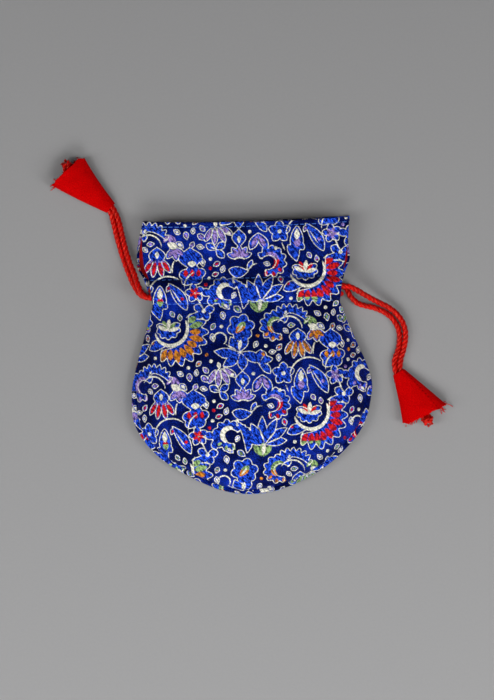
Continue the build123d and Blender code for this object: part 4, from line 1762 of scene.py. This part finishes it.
@dataclass
class Tassel:
    """A cone of rolled cloth with the knot that holds it and the string's two tails."""

    side: Side
    pivot: tuple[float, float]
    tip: tuple[float, float]
    mouth: tuple[float, float]
    mouth_half: float
    knot: tuple[float, float, float]
    seam_turn: float
    bow: float
    frays: int
    tip_half: float = 2.95
    tip_height: float = 1.85
    mouth_height: float = 3.8
    wall: float = 0.42
    overlap: float = 0.62
    lowest: float = 0.24
    tuft_strands: int = 16
    bend_before: float = 5.0
    bend_after: float = 1.6

    def axis(self) -> tuple[np.ndarray, np.ndarray]:
        """Heading of the cone, and the heading across it."""
        heading = np.array(self.mouth) - np.array(self.tip)
        heading = heading / np.linalg.norm(heading)
        return heading, np.array([-heading[1], heading[0]])

    def tail(self, sign: int) -> list[tuple[float, float, float]]:
        """Route of one end of the string, from near the pivot to inside the knot.

        Args:
            sign: Which of the two ends.

        Returns:
            Points in mm.
        """
        heading, across = self.axis()
        length = np.linalg.norm(np.array(self.knot[:2]) - np.array(self.tip))
        stops = [(0.0, 1.15, 1.75), (0.3, 1.15, 2.0), (0.62, 1.2, 2.7), (0.88, 1.1, 3.3), (1.0, 0.8, 3.5)]
        route = []
        for share, gap, level in stops:
            spot = np.array(self.tip) + heading * share * length + across * sign * gap
            route.append((float(spot[0]), float(spot[1]), level))
        return route

    def cone(self, material: bpy.types.Material) -> bpy.types.Object:
        """Makes the rolled cone with its lapped seam and raw mouth.

        Args:
            material: The cones' cloth.

        Returns:
            The piece.
        """
        heading, across = self.axis()
        rows, columns = 110, 170
        s = np.linspace(0, 1, rows)[:, None]
        spread = np.linspace(0, 1, columns)[None, :]
        angle = self.seam_turn + spread * (math.tau + self.overlap)
        lap = self.wall * 1.15 * spread
        half = self.tip_half + (self.mouth_half - self.tip_half) * s - self.wall * 1.2 + lap
        height = (self.tip_height + (self.mouth_height - self.tip_height) * s) - self.wall * 1.2 + lap
        u = np.cos(angle)
        v = np.sign(np.sin(angle)) * np.abs(np.sin(angle)) ** 1.25
        ripple = soft_noise(s * 26, np.cos(angle) * 9, 13.0, SEED + 50 + self.frays, 2)
        wobble = 0.35 * s * ripple
        top = (v > 0) * 1.0
        level = self.tip_height + (self.mouth_height - self.tip_height) * s + v * (height + wobble * top)
        length = np.linalg.norm(np.array(self.mouth) - np.array(self.tip))
        ragged = 0.32 * soft_noise(angle * 5, angle * 0, 3.4, SEED + 51, 3)
        raw = ragged + 0.9 * u - 1.3 * smoothstep((-0.8 - u) / 0.2)
        run = s * length + s**3 * raw
        side = u * half + self.bow * 4 * s * (1 - s)
        plan = np.array(self.tip)[None, None] + run[..., None] * heading + side[..., None] * across
        skin = np.dstack([plan, np.maximum(level, self.lowest)]).reshape(-1, 3)
        name = f"tassel_cloth_{self.side.value}"
        piece = mesh_object(name, skin, grid_faces(rows, columns), material)
        vector_attribute(piece, "cloth_place", np.dstack([angle * half * 0.8 + 0 * s, run, 0 * run]))
        whole = math.tau + self.overlap
        into = (spread * whole) * half
        from_edge = (whole - spread * whole) * half
        row_of_holes = np.exp(-(((from_edge - 0.9) / 0.2) ** 2)) * (np.sin(run * math.tau / 1.7) > 0.35)
        float_attribute(piece, "needle_holes", 0.8 * row_of_holes * (into > 4))
        solid = piece.modifiers.new("cloth thickness", "SOLIDIFY")
        solid.thickness = self.wall * 0.8 * MM
        solid.offset = -1.0
        bpy.context.view_layer.objects.active = piece
        piece.select_set(True)
        bpy.ops.object.modifier_apply(modifier=solid.name)
        piece.select_set(False)
        return piece

    def knot_piece(self, cord: TwistedCord, material: bpy.types.Material) -> bpy.types.Object:
        """Makes the overhand knot of both ends, pulled tight.

        Args:
            cord: The string's make-up.
            material: The string's finish.

        Returns:
            The piece.
        """
        t = np.linspace(0, math.tau, 150)
        heading, across = self.axis()
        swing, reach = 1.3, 0.66
        loop_u = (swing + reach * np.cos(3 * t)) * np.cos(2 * t)
        loop_v = (swing + reach * np.cos(3 * t)) * np.sin(2 * t)
        loop_w = 0.95 * np.sin(3 * t)
        middle = np.array(self.knot)
        path = middle + loop_w[:, None] * np.append(heading, 0) + loop_u[:, None] * np.append(across, 0)
        path = path + loop_v[:, None] * np.array([0, 0, 1.0])
        thick = TwistedCord(diameter=cord.diameter * 0.84, ply_share=0.6, lay_length=5.0, plies=2)
        knot = ThreadBundle()
        knot.add(thick, even_path(path, 0.16))
        strand = TwistedCord(0.34, 0.6, 2.0, 5, 2)
        rng = np.random.default_rng(SEED + 60 + self.frays)
        for sign in (-1, 1):
            for _ in range(self.tuft_strands):
                shift = heading * 1.7 + across * sign * rng.uniform(0.2, 1.4)
                root = middle + np.append(shift, rng.uniform(-0.6, 0.9))
                spread = heading * rng.uniform(0.8, 1.5) + across * rng.uniform(-0.5, 0.5)
                lean = np.append(spread, rng.uniform(-0.5, 0.3))
                knot.add(strand, root + np.linspace(0, 1, 6)[:, None] * lean)
        return knot.piece(f"string_knot_{self.side.value}", material)

    def frayed_threads(self, material: bpy.types.Material) -> bpy.types.Object:
        """Makes the loose threads at the cone's raw mouth.

        Args:
            material: The thread's finish.

        Returns:
            The piece.
        """
        heading, across = self.axis()
        rng = np.random.default_rng(SEED + 70 + self.frays)
        loose = ThreadBundle()
        strand = TwistedCord(0.4, 0.62, 1.6, 5, 2)
        for i in range(self.frays):
            in_corner = i < self.frays // 3
            share = rng.uniform(0.72, 0.98) if in_corner else rng.uniform(-0.98, 0.98)
            low = self.mouth_height * (1 - math.sqrt(1 - share * share) * 0.8) + 0.3
            spot = np.array(self.mouth) + across * share * (self.mouth_half - 0.5) - heading * 0.7
            root = np.append(spot, low)
            longest = in_corner and i % 2 == 0
            reach = rng.uniform(2.6, 5.6) if longest else rng.uniform(0.8, 2.2)
            turn = math.radians(rng.uniform(-25, 80)) * (1 if share > 0 else -1)
            lean = heading * math.cos(turn) + across * math.sin(turn)
            t = np.linspace(0, 1, 12)[:, None]
            curl = np.sin(t * rng.uniform(2, 5) + rng.uniform(0, 3)) * (0.7 if longest else 0.2)
            line = root + t * reach * np.append(lean, 0) + curl * np.append(across, 0) * t
            line[:, 2] = np.maximum(low * (1 - t[:, 0]) ** 1.5 + 0.25, 0.16)
            loose.add(strand, line)
        return loose.piece(f"frayed_threads_{self.side.value}", material)


@dataclass
class Drawstring:
    """One string: from its knot, round the casing and back to the same knot."""

    side: Side
    tassel: Tassel
    front_leg: list
    back_leg: list
    lane: float
    slit: float
    turn: float
    front_level: float = 9.5
    back_level: float = 1.75
    waver: float = 0.3
    step: float = 0.42
    lowest: float = 0.03
    cord: TwistedCord = TwistedCord()

    def lane_points(self, start: float, end: float, level: float) -> list[tuple[float, float, float]]:
        """Route inside one side of the casing.

        Args:
            start: First place across.
            end: Last place across.
            level: Height of the lane.

        Returns:
            Points in mm.
        """
        shares = (0.13, 0.35, 0.62, 0.85)
        across = [start + (end - start) * share for share in shares]
        return [(x, self.lane + self.waver * (i % 2), level) for i, x in enumerate(across)]

    def route(self) -> list[tuple[float, float, float]]:
        """Route of the whole string, from knot to knot.

        Returns:
            Points in mm.
        """
        over = [(self.slit, self.lane, self.front_level)]
        over += self.lane_points(self.slit, self.turn, self.front_level)
        bend = [(self.turn, self.lane, self.front_level), (self.turn, self.lane, self.back_level)]
        under = self.lane_points(self.turn, self.slit, self.back_level)
        under += [(self.slit, self.lane, self.back_level)]
        sign = -1 if self.side is Side.LEFT else 1
        starts, ends = self.tassel.tail(sign), self.tassel.tail(-sign)
        return starts[::-1] + self.front_leg + over + bend + under + self.back_leg + ends

    def centreline(self) -> np.ndarray:
        """Points of the smooth curve that the route controls, in mm.

        Returns:
            The points, in order along the string.
        """
        route = self.route()
        curve = bpy.data.curves.new(f"route_{self.side.value}", "CURVE")
        curve.dimensions = "3D"
        curve.resolution_u = 16
        spline = curve.splines.new("NURBS")
        spline.points.add(len(route) - 1)
        for point, place in zip(spline.points, route):
            point.co = (*(c * MM for c in place), 1.0)
        spline.order_u = 3
        spline.use_endpoint_u = True
        holder = bpy.data.objects.new(f"route_{self.side.value}", curve)
        bpy.context.scene.collection.objects.link(holder)
        bpy.context.view_layer.update()
        traced = bpy.data.meshes.new_from_object(holder)
        points = np.array([v.co for v in traced.vertices]) / MM
        bpy.data.objects.remove(holder)
        bpy.data.curves.remove(curve)
        return points

    def build(self, material: bpy.types.Material) -> tuple[bpy.types.Object, np.ndarray]:
        """Makes the string.

        Args:
            material: The string's finish.

        Returns:
            The piece, and its centreline in mm.
        """
        path = even_path(self.centreline(), self.step)
        skin, faces, place = self.cord.strands(path)
        skin[:, 2] = np.maximum(skin[:, 2], self.lowest)
        piece = mesh_object(f"string_{self.side.value}_cord", skin, faces, material)
        vector_attribute(piece, "fibre_place", place)
        return piece, path


# ---------------------------------------------------------------- studio


@dataclass
class Studio:
    """Paper floor, soft lamps and the camera straight above."""

    view_middle: tuple[float, float] = (-1.6, 2.7)
    view_height: float = 304.5
    roll: float = 1.5
    distance: float = 1.3
    sensor: float = 36.0
    floor_half: float = 900.0
    sky: tuple = (0.9, 0.93, 1.0, 1.0)
    sky_strength: float = 0.12

    def camera(self) -> None:
        """Sets the camera."""
        data = bpy.data.cameras.new("camera")
        data.sensor_width = self.sensor
        data.lens = self.sensor * self.distance / (self.view_height * MM)
        camera = bpy.data.objects.new("camera", data)
        camera.location = (self.view_middle[0] * MM, self.view_middle[1] * MM, self.distance)
        camera.rotation_euler = (0.0, 0.0, math.radians(-self.roll))
        bpy.context.scene.collection.objects.link(camera)
        bpy.context.scene.camera = camera

    def lamp(
        self,
        name: str,
        place: tuple,
        width: float,
        height: float,
        power: float,
        aim: tuple = (0.0, 0.0, 0.0),
    ) -> None:
        """Adds one soft lamp.

        Args:
            name: Its name.
            place: Where it is, in metres.
            width: Width of its window.
            height: Height of its window.
            power: Its power, in watts.
            aim: What it looks at.
        """
        data = bpy.data.lights.new(name, "AREA")
        data.shape = "RECTANGLE"
        data.size, data.size_y = width, height
        data.energy = power
        lamp = bpy.data.objects.new(name, data)
        lamp.location = place
        lamp.rotation_euler = (Vector(aim) - Vector(place)).to_track_quat("-Z", "Y").to_euler()
        bpy.context.scene.collection.objects.link(lamp)

    def floor(self, material: bpy.types.Material) -> None:
        """Lays the paper."""
        half = self.floor_half
        corners = np.array([(-half, -half, 0), (half, -half, 0), (half, half, 0), (-half, half, 0)])
        piece = mesh_object("paper_floor", corners, [(0, 1, 2, 3)], material)

    def build(self) -> None:
        """Sets up the whole studio."""
        self.camera()
        self.floor(PaperFinish().build())
        self.lamp("left_window", (-0.62, -0.18, 0.62), 0.3, 0.6, 4.1)
        self.lamp("right_window", (0.62, -0.25, 0.62), 0.3, 0.6, 4.3)
        self.lamp("front_window", (0.0, -0.6, 0.5), 0.6, 0.3, 3.6, (0.0, -0.16, 0.0))
        self.lamp("ceiling", (0.0, -0.15, 1.5), 0.35, 0.35, 1.5)
        world = bpy.data.worlds.new("room")
        world.use_nodes = True
        background = world.node_tree.nodes["Background"]
        background.inputs[0].default_value = self.sky
        background.inputs[1].default_value = self.sky_strength
        bpy.context.scene.world = world
        bpy.context.scene.view_settings.view_transform = "Standard"


# ---------------------------------------------------------------- the whole pouch


@dataclass
class Pouch:
    """Everything that makes up the pouch, each piece hiding the model's parts in its place."""

    shape: BagShape = field(default_factory=BagShape)
    seam_out: float = 0.1
    seam_level: float = 2.1
    left_tassel: Tassel = field(
        default_factory=lambda: Tassel(
            Side.LEFT, (-57.4, 62.8), (-59.2, 65.8), (-77.7, 82.4), 9.4, (-77.2, 84.4, 3.5), 3.6, 0.25, 16
        )
    )
    right_tassel: Tassel = field(
        default_factory=lambda: Tassel(
            Side.RIGHT, (63.1, -5.2), (63.8, -8.6), (74.8, -27.6), 10.4, (75.8, -29.6, 3.5), 0.33, 0.0, 34
        )
    )

    def strings(self) -> list[Drawstring]:
        """The two strings with their routes.

        Returns:
            The left string and the right string.
        """
        left = Drawstring(
            Side.LEFT,
            self.left_tassel,
            front_leg=[
                (-57.3, 63.8, 1.75),
                (-56.0, 61.2, 1.9),
                (-55.0, 56.2, 1.9),
                (-53.7, 49.8, 2.7),
                (-51.8, 42.4, 3.4),
                (-49.3, 36.6, 4.9),
                (-47.9, 31.2, 7.6),
            ],
            back_leg=[
                (-48.7, 29.3, 1.6),
                (-51.2, 34.9, 1.3),
                (-53.7, 41.8, 1.25),
                (-55.8, 49.2, 1.3),
                (-57.3, 55.4, 1.25),
                (-58.4, 61.0, 1.4),
                (-59.2, 63.9, 1.6),
            ],
            lane=26.1,
            slit=-45.2,
            turn=39.6,
        )
        right = Drawstring(
            Side.RIGHT,
            self.right_tassel,
            front_leg=[
                (64.6, -6.6, 1.75),
                (64.9, -3.4, 1.7),
                (66.6, 1.4, 1.7),
                (67.7, 7.6, 2.1),
                (66.4, 13.6, 2.6),
                (62.0, 18.8, 3.0),
                (56.6, 21.6, 3.8),
                (50.6, 24.8, 5.8),
                (46.2, 27.6, 8.4),
            ],
            back_leg=[
                (43.2, 25.4, 1.6),
                (47.0, 21.5, 1.45),
                (50.9, 20.4, 1.35),
                (54.8, 19.5, 1.3),
                (60.9, 16.4, 1.3),
                (64.7, 10.6, 1.35),
                (64.9, 4.8, 1.3),
                (63.9, 0.4, 1.3),
                (62.2, -3.6, 1.4),
                (62.4, -6.4, 1.6),
            ],
            lane=29.5,
            slit=42.4,
            turn=-42.6,
        )
        return [left, right]

    def string_pieces(self, cord_finish: bpy.types.Material, tassel_finish: bpy.types.Material) -> None:
        """Makes both strings with their knots, cones and frayed threads.

        Args:
            cord_finish: Finish of the strings.
            tassel_finish: Finish of the cones.
        """
        for string in self.strings():
            side, tassel = string.side.value, string.tassel
            piece, path = string.build(cord_finish)
            knot = tassel.knot_piece(string.cord, cord_finish)
            cone = tassel.cone(tassel_finish)
            frays = tassel.frayed_threads(tassel_finish)
            vector_attribute(frays, "cloth_place", np.zeros((len(frays.data.vertices), 3)))
            for part in (knot, cone, frays):
                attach(part, f"tassel_{side}")
            heading, _ = tassel.axis()
            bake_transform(piece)
            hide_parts(f"drawstring_{side}", f"cord_tail_{side}")
            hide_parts(f"knot_{side}")
            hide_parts(f"tassel_cone_{side}")

    def cloth_pieces(self, brocade: bpy.types.Material, satin: bpy.types.Material) -> None:
        """Makes the outer cloth and the lining of both faces.

        Args:
            brocade: Finish of the outer cloth.
            satin: Finish of the lining.
        """
        pattern = WovenPattern()
        pattern.draw()
        for face in Face:
            name = face.value
            outer = BrocadePanel(self.shape, face).build(pattern, brocade)
            inner = LiningPanel(self.shape, face).build(satin)
            for piece, slot, nodes in (
                (outer, "brocade", (f"{name}_panel", f"{name}_casing", f"{name}_header")),
                (inner, "lining_satin", (f"{name}_lining", f"{name}_casing_lining", f"{name}_header_lining")),
            ):
                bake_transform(piece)
                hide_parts(*nodes)
            LOG.info("cloth %s: %d points", name, len(outer.data.vertices))

    def stitched_rows(self, thread: bpy.types.Material) -> None:
        """Makes the rows of stitches and the seam.

        Args:
            thread: Finish of the thread.
        """
        shape = self.shape
        rows = [
            ("front_casing_stitching_lower", Face.FRONT, shape.row_lower, -41.2, 38.5, "pouch"),
            ("front_casing_stitching_upper", Face.FRONT, shape.row_upper, -43.1, 40.0, "pouch"),
            ("front_top_stitching", Face.FRONT, shape.top_stitch, -44.9, 43.1, "front_flap"),
            ("back_casing_stitching_lower", Face.BACK, shape.row_lower, -41.2, 38.5, "pouch"),
            ("back_casing_stitching_upper", Face.BACK, shape.row_upper, -43.1, 40.0, "pouch"),
            ("back_top_stitching", Face.BACK, shape.back_top_stitch, -44.9, 43.4, "back_flap"),
        ]
        for node, face, y, x0, x1, body in rows:
            x = np.linspace(x0, x1, 400)
            t = (x - x0) / (x1 - x0)
            dip = 4 * t * (1 - t)
            line_y = y - (0.9 * (dip - 0.5) if "top" in node else np.zeros_like(x))
            if face is Face.FRONT:
                z = shape.front_level(x, line_y) + shape.front_creases(x, line_y)
                outward = 1.0
            else:
                z = shape.back_level(x, line_y)
                outward = -1.0
            if node == "back_top_stitching":
                z, outward = np.full_like(x, shape.back_top_level), 1.0
            piece = StitchRow(f"stitches_{node}", np.stack([x, line_y, z], 1), outward).build(thread)
            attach(piece, body)
            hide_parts(node)
        edge = shape.edge[12:-12]
        inward = edge.mean(0) - edge
        inward /= np.linalg.norm(inward, axis=1)[:, None]
        line = np.column_stack([edge - inward * self.seam_out, np.full(len(edge), self.seam_level)])
        seam = StitchRow("stitches_side_seam", line, 0.0, pitch=3.0).build(thread)
        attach(seam, "pouch")
        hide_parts("seam_stitching")

    def build(self, effects: SharedEffects) -> None:
        """Makes every piece of the pouch.

        Args:
            effects: The shared shader groups.
        """
        self.string_pieces(CordFinish().build(effects), TasselFinish().build(effects))
        self.cloth_pieces(BrocadeFinish().build(effects), SatinFinish().build(effects))
        self.stitched_rows(ThreadFinish().build(effects))


def main() -> None:
    """Builds the studio and the pouch."""
    Studio().build()
    LOG.info("studio ready")
    Pouch().build(SharedEffects())
    LOG.info("pouch ready")


if __name__ == "__main__":
    main()
